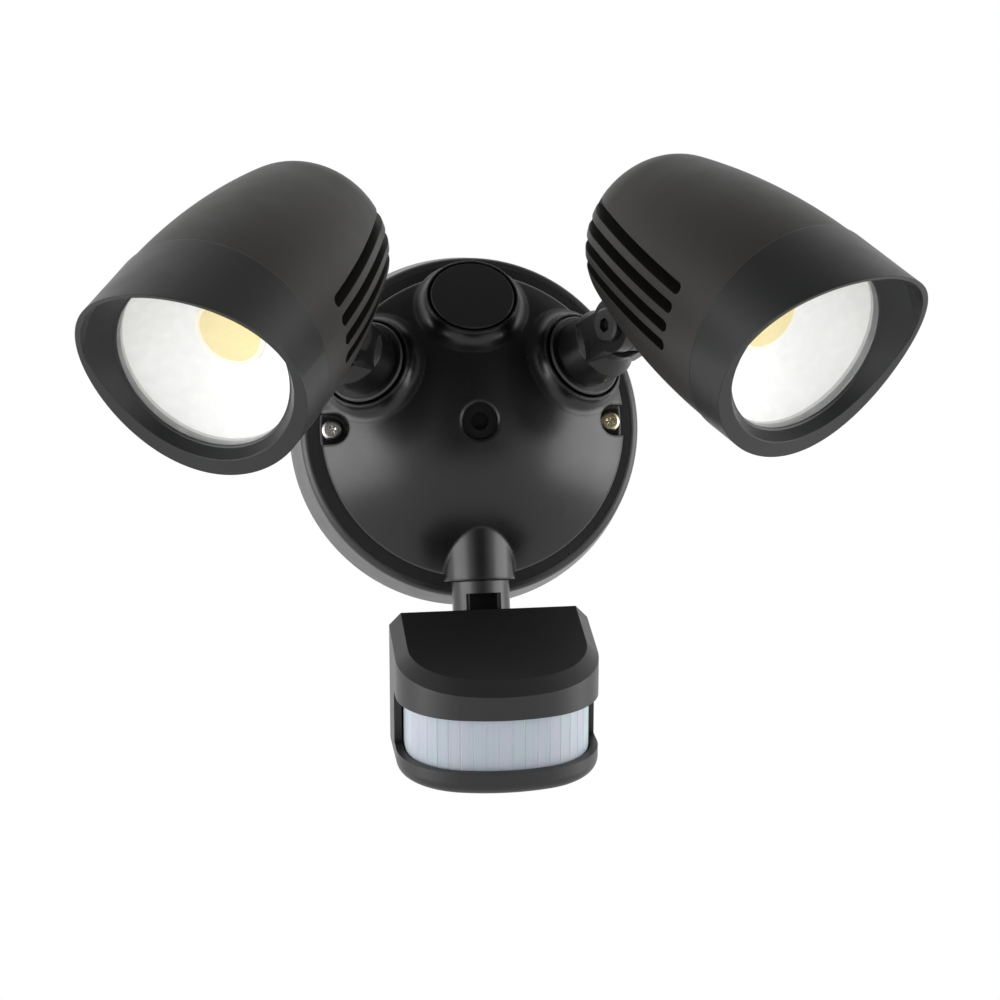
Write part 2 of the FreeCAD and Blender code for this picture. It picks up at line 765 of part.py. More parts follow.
def cover_screws():
    """Two slotted pan-head screws, one in each notch."""
    body = new_body("cover_screws", wall_frame())
    seat = COVER_FOOT + " + screw_floor"
    for side in (1, -1):
        place = ("%d * screw_reach" % side, "0")
        shank = circle_sketch(body, "XY_Plane", [place + ("screw_radius",)], offset=("0", "0", seat))
        sketches = [(shank, "screw_length - screw_floor", True)]
        head = circle_sketch(body, "XY_Plane", [place + ("screw_head_radius",)], offset=("0", "0", seat))
        sketches.append((head, "screw_head_height", False))
        for sketch, length, down in sketches:
            add_feature(body, "Pad", sketch, Length=length, Reversed=down)
        slot = rectangle("%d * screw_reach - screw_head_radius * 1.2" % side,
                         "%d * screw_reach + screw_head_radius * 1.2" % side,
                         "0 - screw_slot_width / 2", "screw_slot_width / 2")
        cut_down(body, outline_sketch(body, "XY_Plane", slot, offset=("0", "0", seat + " + screw_head_height")),
                 "screw_slot_depth")


def centre_plug():
    """The rubber plug that closes the hole in the middle of the cover."""
    turned("centre_plug", wall_frame(), [
        ("0", PLUG_SEAT + " - cover_wall / 2"),
        ("centre_hole_radius + cover_wall / 2", PLUG_SEAT + " - cover_wall / 2"),
        ("centre_hole_radius + cover_wall / 2", PLUG_SEAT),
        ("centre_hole_radius", PLUG_SEAT),
        ("centre_hole_radius", COVER_TOP + " - cover_wall / 2"),
        ("centre_hole_radius / 2", COVER_TOP + " - cover_wall / 2"),
        ("centre_hole_radius / 2", PLUG_SEAT),
        ("0", PLUG_SEAT),
    ])


def blank_plug():
    """The screwed plug that closes the top boss."""
    turned("blank_plug", wall_frame() * boss_frame(90.0), [
        ("0", "0 - shank_length / 2"),
        ("thread_radius", "0 - shank_length / 2"),
        ("thread_radius", SEAL_TOP),
        ("ring_radius", SEAL_TOP),
        ("ring_radius", "0"),
        ("ring_radius - screw_slot_depth / 3", "screw_slot_depth / 3"),
        ("0", "screw_slot_depth / 3"),
    ])


def boss_seal(label, angle):
    turned(label, wall_frame() * boss_frame(angle),
           ring("thread_radius + 4 * thread_clearance", "ring_radius", RECESS_FLOOR, SEAL_TOP))


def cable_grommet():
    turned("cable_grommet", wall_frame(), [
        ("cable_radius", "0"),
        ("knockout_radius", "0"),
        ("knockout_radius", "back_thickness"),
        ("knockout_radius + grommet_flange", "back_thickness"),
        ("knockout_radius + grommet_flange", "back_thickness + grommet_flange"),
        ("cable_radius + grommet_flange", "grommet_height"),
        ("cable_radius", "grommet_height"),
    ])


def led_driver():
    """The potted power supply, on the back plate under the cable entry."""
    body = new_body("led_driver", wall_frame())
    case = rectangle("0 - driver_width / 2", "driver_width / 2",
                     "0 - driver_drop - driver_height", "0 - driver_drop")
    pad_up(body, outline_sketch(body, "XY_Plane", case, offset=("0", "0", "back_thickness")), "driver_depth")
    soften(body, "Fillet", "driver_round", lambda edge: edge.BoundBox.ZMin > size("back_thickness") + EPS)


def terminal_block():
    """The screw terminal for the supply, on the back plate above the cable entry."""
    body = new_body("terminal_block", wall_frame())
    case = rectangle("0 - terminal_width / 2", "terminal_width / 2",
                     "terminal_rise", "terminal_rise + terminal_height")
    pad_up(body, outline_sketch(body, "XY_Plane", case, offset=("0", "0", "back_thickness")), "terminal_depth")
    top = "back_thickness + terminal_depth"
    wells = [("%d * terminal_pitch" % place, "terminal_rise + terminal_height / 2", "terminal_screw_radius")
             for place in (-1, 0, 1)]
    cut_down(body, circle_sketch(body, "XY_Plane", wells, offset=("0", "0", top)), "terminal_depth / 2")


def terminal_screws():
    body = new_body("terminal_screws", wall_frame())
    top = "back_thickness + terminal_depth"
    shanks = [("%d * terminal_pitch" % place, "terminal_rise + terminal_height / 2", "terminal_screw_radius")
              for place in (-1, 0, 1)]
    sketch = circle_sketch(body, "XY_Plane", shanks, offset=("0", "0", top + " - terminal_depth / 2"))
    pad_up(body, sketch, "terminal_depth / 2 - terminal_screw_sink")


def earth_screw():
    foot = "back_thickness + earth_boss_height"
    place = wall_frame() * Placement(Vector(size("earth_side"), size("earth_rise"), size(foot)), Rotation())
    turned("earth_screw", place, [
        ("0", "0 - earth_boss_height"),
        ("earth_screw_radius", "0 - earth_boss_height"),
        ("earth_screw_radius", "0"),
        ("earth_head_radius", "0"),
        ("earth_head_radius", "earth_head_height"),
        ("0", "earth_head_height"),
    ])


# ---- stems: what swivels in a boss ----

def swivel_stem(side):
    """A hollow threaded shank, a round collar and two round ears that hold the lamp's lug."""
    body = turned("swivel_stem_" + side, stem_frame(side), [
        ("stem_bore_radius", "0 - shank_length"),
        ("thread_radius", "0 - shank_length"),
        ("thread_radius", "nut_rise"),
        ("stem_collar_radius", "nut_rise"),
        ("stem_collar_radius", "stem_collar_end"),
        ("stem_neck_radius", "stem_neck_end"),
        ("stem_neck_radius", "pivot_reach - lug_radius - ear_gap"),
        ("0", "pivot_reach - lug_radius - ear_gap"),
        ("0", "stem_collar_end"),
        ("stem_bore_radius", "stem_collar_end"),
    ])
    throat = "pivot_reach - sqrt(ear_radius ^ 2 - ear_neck ^ 2)"
    ear = outline_sketch(body, "YZ_Plane", [
        ("0 - ear_neck", "stem_collar_end"),
        ("ear_neck", "stem_collar_end"),
        ("ear_neck", throat),
        ("0", "pivot_reach + ear_radius", "ear_radius"),
        ("0 - ear_neck", throat, "ear_radius"),
    ], offset=("0", "0", EAR_INNER))
    mirror(body, [pad_up(body, ear, "ear_thickness")])
    hole = circle_sketch(body, "YZ_Plane", [("0", "pivot_reach", "bolt_radius")])
    cut_across(body, hole, "4 * " + EAR_OUTER)


def lock_nut(side):
    """The round nut that locks the shank in its boss; its bevelled edge shows as a thin ring."""
    turned("lock_nut_" + side, stem_frame(side), [
        ("thread_radius", RING_FOOT),
        ("ring_radius", RING_FOOT),
        ("ring_radius", "nut_rise / 2"),
        ("ring_radius - nut_rise / 2", "nut_rise"),
        ("thread_radius", "nut_rise"),
    ])


def across_stem(side):
    """The frame whose z axis is the tilting axis, from its middle, pointing at the nut."""
    turn = Placement(Vector(0, 0, size("pivot_reach")), Rotation(Vector(0, 1, 0), 90))
    return stem_frame(side) * turn


def pivot_bolt(side):
    body = turned("pivot_bolt_" + side, across_stem(side), [
        ("0", "0 - %s - bolt_head_height" % EAR_OUTER),
        ("bolt_head_radius - bolt_head_height / 4", "0 - %s - bolt_head_height" % EAR_OUTER),
        ("bolt_head_radius", "0 - %s - bolt_head_height * 0.75" % EAR_OUTER),
        ("bolt_head_radius", "0 - " + EAR_OUTER),
        ("bolt_radius", "0 - " + EAR_OUTER),
        ("bolt_radius", "%s + nut_height" % EAR_OUTER),
        ("0", "%s + nut_height" % EAR_OUTER),
    ])
    socket = hexagon("bolt_socket_radius")
    sketch = outline_sketch(body, "XY_Plane", socket,
                            offset=("0", "0", "0 - %s - bolt_head_height" % EAR_OUTER))
    cut_up(body, sketch, "bolt_head_height * 0.8")


def hexagon(radius):
    """The corners of a hexagon on a circle of this radius."""
    return [("(%s) * %.6f" % (radius, math.cos(math.radians(60 * number))),
             "(%s) * %.6f" % (radius, math.sin(math.radians(60 * number)))) for number in range(6)]


def pivot_nut(side):
    body = new_body("pivot_nut_" + side, across_stem(side))
    corner = "nut_flats / %.6f" % math.sqrt(3)
    pad_up(body, outline_sketch(body, "XY_Plane", hexagon(corner), offset=("0", "0", EAR_OUTER)), "nut_height")
    cut_up(body, circle_sketch(body, "XY_Plane", [("0", "0", "bolt_radius")], offset=("0", "0", EAR_OUTER)),
           "nut_height")


def friction_washers(side):
    """The two washers that grip the lug between the ears."""
    body = new_body("friction_washers_" + side, across_stem(side))
    for sign in ("1", "-1"):
        low = "%s * (lug_half_width + washer_gap + washer_thickness / 2) - washer_thickness / 2" % sign
        sketch = circle_sketch(body, "XY_Plane", [
            ("0", "0", "lug_radius - washer_gap"),
            ("0", "0", "bolt_radius + washer_gap"),
        ], offset=("0", "0", low))
        pad_up(body, sketch, "washer_thickness")


# ---- lamps ----

def lamp_housing(side):
    """The bullet-shaped body, with a recess for the fins on either side and the lug on its underside."""
    body = turned("lamp_housing_" + side, lamp_frame(side), [
        ("0", DOME_END),
        (DOME_CENTRE_RADIUS, DOME_END),
        (SHOULDER_RADIUS, BARREL_END, "dome_radius"),
        ("lamp_radius", "0 - seam_back - barrel_lead", "barrel_curve"),
        ("lamp_radius", "0 - seam_back"),
        ("lamp_radius - lamp_wall + spigot_thickness - spigot_clearance", "0 - seam_back"),
        ("lamp_radius - lamp_wall + spigot_thickness - spigot_clearance",
         "0 - seam_back - spigot_length - spigot_clearance"),
        (LAMP_BORE, "0 - seam_back - spigot_length - spigot_clearance"),
        (LAMP_BORE, LAMP_FLOOR),
        ("rear_cavity_radius", LAMP_FLOOR),
        ("rear_cavity_radius", "0 - rear_cavity_end"),
        ("0", "0 - rear_cavity_end"),
    ])
    recesses = new_sketch(body, "XY_Plane", offset=("0", "0", FINS_FRONT))
    for inner, outer in (("slot_inner", "lamp_radius + lamp_wall"),
                         ("0 - lamp_radius - lamp_wall", "0 - slot_inner")):
        draw(recesses, rectangle(inner, outer, FINS_FOOT, FINS_TOP))
    cut_down(body, recesses, "barrel_length + dome_radius")
    slot_ends = [("slot_top - %d * slot_pitch" % number, FINS_FRONT, "slot_width / 2")
                 for number in range(int(size("slot_count")))]
    ends = circle_sketch(body, "YZ_Plane", slot_ends, offset=("0", "0", "fin_root"))
    mirror(body, [cut_up(body, ends, "lamp_radius")])
    pivot = ("0 - pivot_drop", "0 - pivot_back")
    notch = circle_sketch(body, "YZ_Plane", [pivot + ("ear_radius + 2 * ear_gap",)])
    cut_across(body, notch, "2 * (%s + nut_height + 4 * ear_gap)" % EAR_OUTER)
    lug = outline_sketch(body, "YZ_Plane", [
        (pivot[0], pivot[1] + " - lug_radius", "lug_radius"),
        ("0 - rear_cavity_radius - lamp_wall", pivot[1] + " - lug_radius"),
        ("0 - rear_cavity_radius - lamp_wall", pivot[1] + " + lug_radius"),
        (pivot[0], pivot[1] + " + lug_radius"),
        (pivot[0] + " - lug_radius", pivot[1], "lug_radius"),
    ])
    pad_across(body, lug, "2 * lug_half_width")
    hole = circle_sketch(body, "YZ_Plane", [pivot + ("bolt_radius + running_clearance",)])
    cut_across(body, hole, "3 * lug_half_width")
    threads = [("led_screw_reach * %d" % sign, "0", "led_screw_radius") for sign in (1, -1)]
    cut_down(body, circle_sketch(body, "XY_Plane", threads, offset=("0", "0", LAMP_FLOOR)),
             "slot_start - led_back - led_base_thickness - board_thickness")


def cooling_fins(side):
    """The two fin packs let into the housing's sides, their tips flush with its surface."""
    body = turned("cooling_fins_" + side, lamp_frame(side), [
        ("0", DOME_END),
        (DOME_CENTRE_RADIUS, DOME_END),
        (SHOULDER_RADIUS, BARREL_END, "dome_radius"),
        (FINS_FRONT_RADIUS, FINS_FRONT, "barrel_curve"),
        ("0", FINS_FRONT),
    ])
    around = new_sketch(body, "XY_Plane", offset=("0", "0", FINS_FRONT))
    reach = "(lamp_radius + lamp_wall)"
    draw(around, rectangle("0 - 2 * " + reach, "2 * " + reach, "0 - 2 * " + reach, "2 * " + reach))
    for sign in (1, -1):
        draw(around, fin_comb(sign, reach))
    cut_down(body, around, "barrel_length + dome_radius")


def fin_comb(sign, reach):
    """The section of one fin pack: a plate on the recess floor with a fin between each two slots."""
    floor, root, tip = ["%d * %s" % (sign, place) for place in ("slot_inner", "fin_root", reach)]
    comb = [(floor, FINS_FOOT), (root, FINS_FOOT)]
    for number in range(int(size("slot_count")) - 1, 0, -1):
        middle = "(slot_top - (%d - 1 / 2) * slot_pitch)" % number
        low = middle + " - (slot_pitch - slot_width) / 2"
        high = middle + " + (slot_pitch - slot_width) / 2"
        comb += [(root, low), (tip, low), (tip, high), (root, high)]
    return comb + [(root, FINS_TOP), (floor, FINS_TOP)]


def bezel(side):
    """The front ring: a spigot in the housing, a lip over the glass and a visor longer at the top."""
    spigot_outer = "lamp_radius - lamp_wall + spigot_thickness - 2 * spigot_clearance"
    body = turned("bezel_" + side, lamp_frame(side), [
        ("window_radius", "0 - glass_seat"),
        (LAMP_BORE + " - spigot_clearance", "0 - glass_seat"),
        (LAMP_BORE + " - spigot_clearance", "0 - seam_back - spigot_length"),
        (spigot_outer, "0 - seam_back - spigot_length"),
        (spigot_outer, "0 - seam_back"),
        ("lamp_radius + bezel_step", "0 - seam_back"),
        ("bezel_front_radius", "bezel_length"),
        ("bezel_front_radius - bezel_lip", "bezel_length"),
        ("bezel_cone_radius", "bezel_cone_depth"),
        ("window_radius + 2 * glass_seat", "2 * glass_seat"),
        ("window_radius", "glass_seat"),
    ])
    front = circle_sketch(body, "YZ_Plane",
                          [("0 - visor_cut_drop", "visor_cut_forward + visor_cut_radius", "visor_cut_radius")])
    cut_across(body, front, "3 * bezel_front_radius")


def lens_glass(side):
    turned("lens_glass_" + side, lamp_frame(side), disc("glass_radius", GLASS_BACK, "0 - glass_seat"))


def glass_gasket(side):
    """The silicone ring round the glass, with a lip behind it."""
    turned("glass_gasket_" + side, lamp_frame(side), [
        ("glass_radius", "0 - glass_seat"),
        ("glass_gasket_radius", "0 - glass_seat"),
        ("glass_gasket_radius", REFLECTOR_TOP),
        ("window_radius + glass_seat", REFLECTOR_TOP),
        ("window_radius + glass_seat", GLASS_BACK),
        ("glass_radius", GLASS_BACK),
    ])


def reflector(side):
    """The bright bowl between the light source and the glass."""
    neck = "swivel_gap - led_back"
    turned("reflector_" + side, lamp_frame(side), [
        ("window_radius + glass_seat", REFLECTOR_TOP),
        ("reflector_neck_radius", neck, "0 - reflector_curve"),
        ("reflector_neck_radius + reflector_wall", neck),
        ("window_radius + glass_seat + reflector_wall", REFLECTOR_TOP + " - reflector_wall",
         "reflector_curve"),
        ("glass_gasket_radius", REFLECTOR_TOP + " - reflector_wall"),
        ("glass_gasket_radius", REFLECTOR_TOP),
    ])


def led_phosphor(side):
    turned("led_phosphor_" + side, lamp_frame(side), disc("led_radius", "0 - led_back", "led_height - led_back"))


def led_substrate(side):
    turned("led_substrate_" + side, lamp_frame(side), disc("led_base_radius", BOARD_FRONT, "0 - led_back"))


def led_board(side):
    """The metal-core board that carries the light source on the floor of the housing."""
    body = turned("led_board_" + side, lamp_frame(side),
                  disc(LAMP_BORE + " - spigot_clearance", LAMP_FLOOR, BOARD_FRONT))
    holes = [("led_screw_reach * %d" % sign, "0", "led_screw_radius") for sign in (1, -1)]
    cut_up(body, circle_sketch(body, "XY_Plane", holes, offset=("0", "0", LAMP_FLOOR)), "board_thickness")


def led_screws(side):
    """Two screws that hold the board down, hidden behind the bowl."""
    body = new_body("led_screws_" + side, lamp_frame(side))
    for sign in (1, -1):
        place = ("led_screw_reach * %d" % sign, "0")
        head = circle_sketch(body, "XY_Plane", [place + ("led_screw_head_radius",)],
                             offset=("0", "0", BOARD_FRONT))
        pad_up(body, head, "led_screw_radius")
        shank = circle_sketch(body, "XY_Plane", [place + ("led_screw_radius",)],
                              offset=("0", "0", BOARD_FRONT))
        add_feature(body, "Pad", shank, Length="slot_start - led_back - led_base_thickness", Reversed=True)


# ---- sensor's fork: what pans in the arch ----

def sensor_fork():
    """A pin up into the arch, a round collar and two prongs with a web behind."""
    body = turned("sensor_fork", pan_frame(), [
        ("0", "0 - pan_pin_length"),
        ("pan_pin_radius", "0 - pan_pin_length"),
        ("pan_pin_radius", "0 - clip_back - clip_groove / 2"),
        ("pan_pin_radius - clip_groove", "0 - clip_back - clip_groove / 2"),
        ("pan_pin_radius - clip_groove", "clip_groove / 2 - clip_back"),
        ("pan_pin_radius", "clip_groove / 2 - clip_back"),
        ("pan_pin_radius", "fork_gap"),
        ("fork_collar_radius", "fork_gap"),
        ("fork_collar_radius", "fork_gap + fork_collar_height"),
        ("0", "fork_gap + fork_collar_height"),
    ])
    prong = outline_sketch(body, "YZ_Plane", [
        ("0 - fork_depth", "fork_collar_height"),
        ("fork_depth", "fork_collar_height"),
        ("fork_depth", "fork_reach"),
        ("0", "fork_reach + fork_depth", "fork_depth"),
        ("0 - fork_depth", "fork_reach", "fork_depth"),
    ], offset=("0", "0", "fork_inner"))
    mirror(body, [pad_up(body, prong, "fork_outer - fork_inner")])
    groove(body, ring("fork_collar_radius", "2 * fork_collar_radius",
                      "fork_gap", "fork_reach + 2 * fork_depth"))
    web = rectangle("0 - fork_depth", "fork_web - fork_depth",
                    "fork_collar_height", "fork_reach - tab_radius - 2 * fork_gap")
    pad_across(body, outline_sketch(body, "YZ_Plane", web), "2 * fork_inner + fork_web / 4")
    hole = circle_sketch(body, "YZ_Plane", [("0", "fork_reach", "fork_pin_radius")])
    cut_across(body, hole, "3 * fork_outer")
    sink = circle_sketch(body, "YZ_Plane", [("0", "fork_reach", "fork_head_radius")],
                         offset=("0", "0", "fork_outer"))
    mirror(body, [cut_down(body, sink, "fork_head_height")])


def across_fork():
    return pan_frame() * Placement(Vector(0, 0, size("fork_reach")), Rotation(Vector(0, 1, 0), 90))


def fork_screw():
    """The sensor's tilting pin: a screw sunk in one prong."""
    body = turned("fork_screw", across_fork(), [
        ("0", "fork_head_height - fork_outer"),
        ("fork_pin_radius", "fork_head_height - fork_outer"),
        ("fork_pin_radius", "fork_outer - fork_head_height"),
        ("fork_head_radius", "fork_outer - fork_head_height"),
        ("fork_head_radius", "fork_outer"),
        ("0", "fork_outer"),
    ])
    slot = rectangle("0 - fork_head_radius * 1.2", "fork_head_radius * 1.2",
                     "0 - screw_slot_width / 2", "screw_slot_width / 2")
    cut_down(body, outline_sketch(body, "XY_Plane", slot, offset=("0", "0", "fork_outer")),
             "fork_head_height / 2")


def fork_nut():
    """The round nut sunk in the other prong."""
    turned("fork_nut", across_fork(), disc("fork_head_radius", "0 - fork_outer", "fork_head_height - fork_outer"))


def pan_clip():
    """The spring ring that keeps the pin in the arch."""
    turned("pan_clip", pan_frame(),
           ring("pan_pin_radius - clip_groove", "pan_pin_radius + clip_groove - running_clearance",
                "0 - clip_back - clip_thickness / 2", "clip_thickness / 2 - clip_back"))


# ---- sensor ----

def sensor_outline(inset, back):
    """Seen from above: a flatly curved front, round corners and straight sides, all inset alike."""
    side = "(sensor_half_width - %s)" % inset
    curve = "(sensor_front_curve - %s)" % inset
    corner = "(sensor_corner - %s)" % inset
    across = "(%s * %s / %s)" % (curve, CORNER_ACROSS, CORNER_REACH)
    bend = "(%s - %s * %s / %s)" % (FRONT_MIDDLE, curve, CORNER_RISE, CORNER_REACH)
    straight = "(%s - %s)" % (FRONT_MIDDLE, CORNER_RISE)
    return [
        ("0 - " + side, back),
        ("0 - " + side, straight),
        ("0 - " + across, bend, corner),
        (across, bend, curve),
        (side, straight, corner),
        (side, back),
    ]


def backwards(outline):
    """The same outline the other way round."""
    bends = [corner[2:] for corner in outline[1:] + outline[:1]]
    return [corner[:2] + tuple("0 - " + radius for radius in bend)
            for corner, bend in zip(reversed(outline), reversed(bends))]


def sensor_housing():
    """The upper shell: a sloping bevelled top, a brow over the lens, the back and the hanging tab."""
    body = new_body("sensor_housing", sensor_frame())
    shell = outline_sketch(body, "XY_Plane", sensor_outline("0", "sensor_back"),
                           offset=("0", "0", "0 - base_split"))
    pad_up(body, shell, "base_split + sensor_back_top + sensor_bevel")
    slope = "((sensor_back_top - sensor_front_top) / (sensor_front + sensor_back))"
    above = outline_sketch(body, "YZ_Plane", [
        ("0 - sensor_front - sensor_bevel", "sensor_front_top - sensor_bevel * " + slope),
        ("sensor_back + sensor_bevel", "sensor_back_top + sensor_bevel * " + slope),
        ("sensor_back + sensor_bevel", "sensor_back_top + 2 * sensor_bevel"),
        ("0 - sensor_front - sensor_bevel", "sensor_back_top + 2 * sensor_bevel"),
    ])
    cut_across(body, above, "3 * sensor_half_width")
    soften(body, "Chamfer", "sensor_bevel", sensor_brow)
    cavity = outline_sketch(body, "XY_Plane", sensor_outline("sensor_wall", CAVITY_BACK),
                            offset=("0", "0", "0 - base_split"))
    cut_up(body, cavity, "base_split + sensor_ceiling")
    window = rectangle("0 - 2 * sensor_half_width", "2 * sensor_half_width", "0 - 2 * sensor_front", "window_end")
    cut_up(body, outline_sketch(body, "XY_Plane", window, offset=("0", "0", "0 - base_split")),
           "base_split + window_half_height")
    posts = [("sensor_screw_side * %d" % sign, "sensor_screw_back", "sensor_post_radius") for sign in (1, -1)]
    pad_up(body, circle_sketch(body, "XY_Plane", posts, offset=("0", "0", "0 - base_split")),
           "base_split + sensor_ceiling + sensor_wall / 2")
    holes = [("sensor_screw_side * %d" % sign, "sensor_screw_back", "sensor_screw_radius") for sign in (1, -1)]
    cut_up(body, circle_sketch(body, "XY_Plane", holes, offset=("0", "0", "0 - base_split")),
           "sensor_screw_length")
    pivot = ("sensor_pivot_back", "sensor_pivot_rise")
    tab = outline_sketch(body, "YZ_Plane", [
        (CAVITY_BACK + " + sensor_wall / 2", "sensor_pivot_rise - 1.5 * tab_radius"),
        (pivot[0], pivot[1] + " - tab_radius"),
        (pivot[0] + " + tab_radius", pivot[1], "tab_radius"),
        (pivot[0], pivot[1] + " + tab_radius", "tab_radius"),
        (CAVITY_BACK + " + sensor_wall / 2", "sensor_pivot_rise + 1.5 * tab_radius"),
    ])
    pad_across(body, tab, "2 * tab_half_width")
    hole = circle_sketch(body, "YZ_Plane", [pivot + ("fork_pin_radius + running_clearance",)])
    cut_across(body, hole, "3 * tab_half_width")


def sensor_brow(edge):
    """The top edges of the shell, but not the one at its back."""
    box = edge.BoundBox
    return box.ZMin > size("sensor_front_top") - EPS and box.YMin < size("sensor_back") - EPS


def sensor_base():
    """The lower tray with its rounded bottom, three knob wells and two screw holes."""
    body = new_body("sensor_base", sensor_frame())
    shell = outline_sketch(body, "XY_Plane", sensor_outline("0", "sensor_back"),
                           offset=("0", "0", "0 - sensor_bottom"))
    pad_up(body, shell, "sensor_bottom - base_split")
    soften(body, "Fillet", "sensor_bottom_round", lambda edge: edge.BoundBox.ZMax < EPS - size("sensor_bottom"))
    cavity = outline_sketch(body, "XY_Plane", sensor_outline("sensor_wall", CAVITY_BACK),
                            offset=("0", "0", FLOOR_TOP))
    cut_up(body, cavity, "sensor_bottom - base_split")
    places = [("%d * knob_spacing" % place, "0 - knob_forward") for place in (-1, 0, 1)]
    wells = circle_sketch(body, "XY_Plane", [place + ("knob_well_radius",) for place in places],
                          offset=("0", "0", "0 - sensor_bottom"))
    cut_up(body, wells, "knob_well_depth")
    shafts = circle_sketch(body, "XY_Plane",
                           [place + ("knob_shaft_radius + running_clearance",) for place in places],
                           offset=("0", "0", "0 - sensor_bottom"))
    cut_up(body, shafts, "sensor_floor + 1")
    posts = [("sensor_screw_side * %d" % sign, "sensor_screw_back", "sensor_post_radius") for sign in (1, -1)]
    pad_up(body, circle_sketch(body, "XY_Plane", posts, offset=("0", "0", FLOOR_TOP + " - sensor_floor / 2")),
           "sensor_bottom - base_split - sensor_floor / 2")
    for radius, depth in (("sensor_screw_radius", "sensor_bottom"),
                          ("sensor_screw_head_radius", "sensor_screw_head_height")):
        holes = [("sensor_screw_side * %d" % sign, "sensor_screw_back", radius) for sign in (1, -1)]
        cut_up(body, circle_sketch(body, "XY_Plane", holes, offset=("0", "0", "0 - sensor_bottom")), depth)


def sensor_lens():
    """The thin curved window in front of the detector."""
    body = new_body("sensor_lens", sensor_frame())
    outer = sensor_outline("lens_inset", "lens_tail")
    inner = backwards(sensor_outline("(lens_inset + lens_thickness)", "lens_tail"))
    sketch = outline_sketch(body, "XY_Plane", outer + inner, offset=("0", "0", "0 - lens_half_height"))
    pad_up(body, sketch, "2 * lens_half_height")


def sensor_board():
    body = new_body("sensor_board", sensor_frame())
    plan = rectangle("0 - sensor_board_half_width", "sensor_board_half_width",
                     "sensor_board_front", "sensor_board_front + board_thickness")
    pad_up(body, outline_sketch(body, "XY_Plane", plan, offset=("0", "0", FLOOR_TOP)),
           "sensor_board_top - " + FLOOR_TOP)


def forward_on_board(side):
    """The frame of a piece on the board's front, z forwards."""
    middle = Vector(size(side), size("sensor_board_front"), 0)
    return sensor_frame() * Placement(middle, Rotation(Vector(1, 0, 0), 90))


def pir_element():
    """The round detector can with its square window."""
    body = turned("pir_element", forward_on_board("0"), disc("pir_radius", "0", "pir_height"))
    half = "pir_window / 2"
    window = rectangle("0 - " + half, half, "0 - " + half, half)
    cut_down(body, outline_sketch(body, "XY_Plane", window, offset=("0", "0", "pir_height")),
             "board_thickness / 4")


def photocell():
    turned("photocell", forward_on_board("photocell_side"), disc("photocell_radius", "0", "photocell_height"))


def sensor_relay():
    """The switching relay on the back of the board."""
    body = new_body("sensor_relay", sensor_frame())
    back = "sensor_board_front + board_thickness"
    plan = rectangle("0 - relay_width / 2", "relay_width / 2", back, back + " + relay_depth")
    pad_up(body, outline_sketch(body, "XY_Plane", plan, offset=("0", "0", "0 - relay_height / 2")),
           "relay_height")


def sensor_screws():
    """Two screws up through the tray into the housing's posts."""
    body = new_body("sensor_screws", sensor_frame())
    seat = "sensor_screw_head_height - sensor_bottom"
    for sign in (1, -1):
        place = ("sensor_screw_side * %d" % sign, "sensor_screw_back")
        head = circle_sketch(body, "XY_Plane", [place + ("sensor_screw_head_radius",)],
                             offset=("0", "0", seat))
        add_feature(body, "Pad", head, Length="sensor_screw_head_height * 0.8", Reversed=True)
        shank = circle_sketch(body, "XY_Plane", [place + ("sensor_screw_radius",)], offset=("0", "0", seat))
        pad_up(body, shank, "sensor_screw_length")


def knob(label, place):
    """A slotted setting knob in its well, with its shaft up through the tray."""
    seat = "knob_gap - knob_well_depth"
    body = turned(label, knob_frame(place), [
        ("0", "0 - knob_shaft_length - knob_well_depth"),
        ("knob_shaft_radius", "0 - knob_shaft_length - knob_well_depth"),
        ("knob_shaft_radius", seat),
        ("knob_radius", seat),
        ("knob_radius", "knob_proud"),
        ("0", "knob_proud"),
    ])
    slot = rectangle("0 - knob_slot_width / 2", "knob_slot_width / 2", "0 - knob_radius * 0.3",
                     "knob_radius * 1.2")
    cut_down(body, outline_sketch(body, "XY_Plane", slot, offset=("0", "0", "knob_proud")), "knob_slot_depth")


# ---- the whole light ----

def build():
    base_housing()
    wall_gasket()
    cover_gasket()
    front_cover()
    cover_screws()
    centre_plug()
    blank_plug()
    boss_seal("plug_seal", 90.0)
    cable_grommet()
    led_driver()
    terminal_block()
    terminal_screws()
    earth_screw()
    for side in LAMPS:
        boss_seal("stem_seal_" + side, LAMPS[side][0])
        for piece in (swivel_stem, lock_nut, pivot_bolt, pivot_nut, friction_washers, lamp_housing, cooling_fins,
                      bezel, lens_glass, glass_gasket, reflector, led_phosphor, led_substrate, led_board,
                      led_screws):
            piece(side)
    sensor_fork()
    fork_screw()
    fork_nut()
    pan_clip()
    sensor_housing()
    sensor_base()
    sensor_lens()
    sensor_board()
    pir_element()
    photocell()
    sensor_relay()
    sensor_screws()
    for place, label in enumerate(("time_knob", "light_level_knob", "range_knob"), start=-1):
        knob(label, place)


def check():
    """Stops if any object failed or any piece is not a sound solid."""
    for item in doc.Objects:
        if "Invalid" in item.State or "Error" in item.State:
            raise RuntimeError("%s failed: %s" % (item.Label, item.State))
    for body in NODES:
        if body.Shape.isNull() or not body.Shape.isValid() or not body.Shape.Solids:
            raise RuntimeError(body.Label + " is not a sound solid")


def write():
    os.makedirs("parts", exist_ok=True)
    for body in NODES:
        body.Shape.exportStep(os.path.join("parts", body.Label + ".step"))


build()
doc.recompute()
check()
write()
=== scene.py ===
"""Looks of a wall-mounted security light: two bullet lamps and a motion sensor on a round canopy.

Everything is in metres, in the frame of the CAD model: +X to the right, +Y into the wall, +Z up,
with the origin at the centre of the canopy's back face.
"""

import json
import math

import bpy
from mathutils import Matrix, Vector


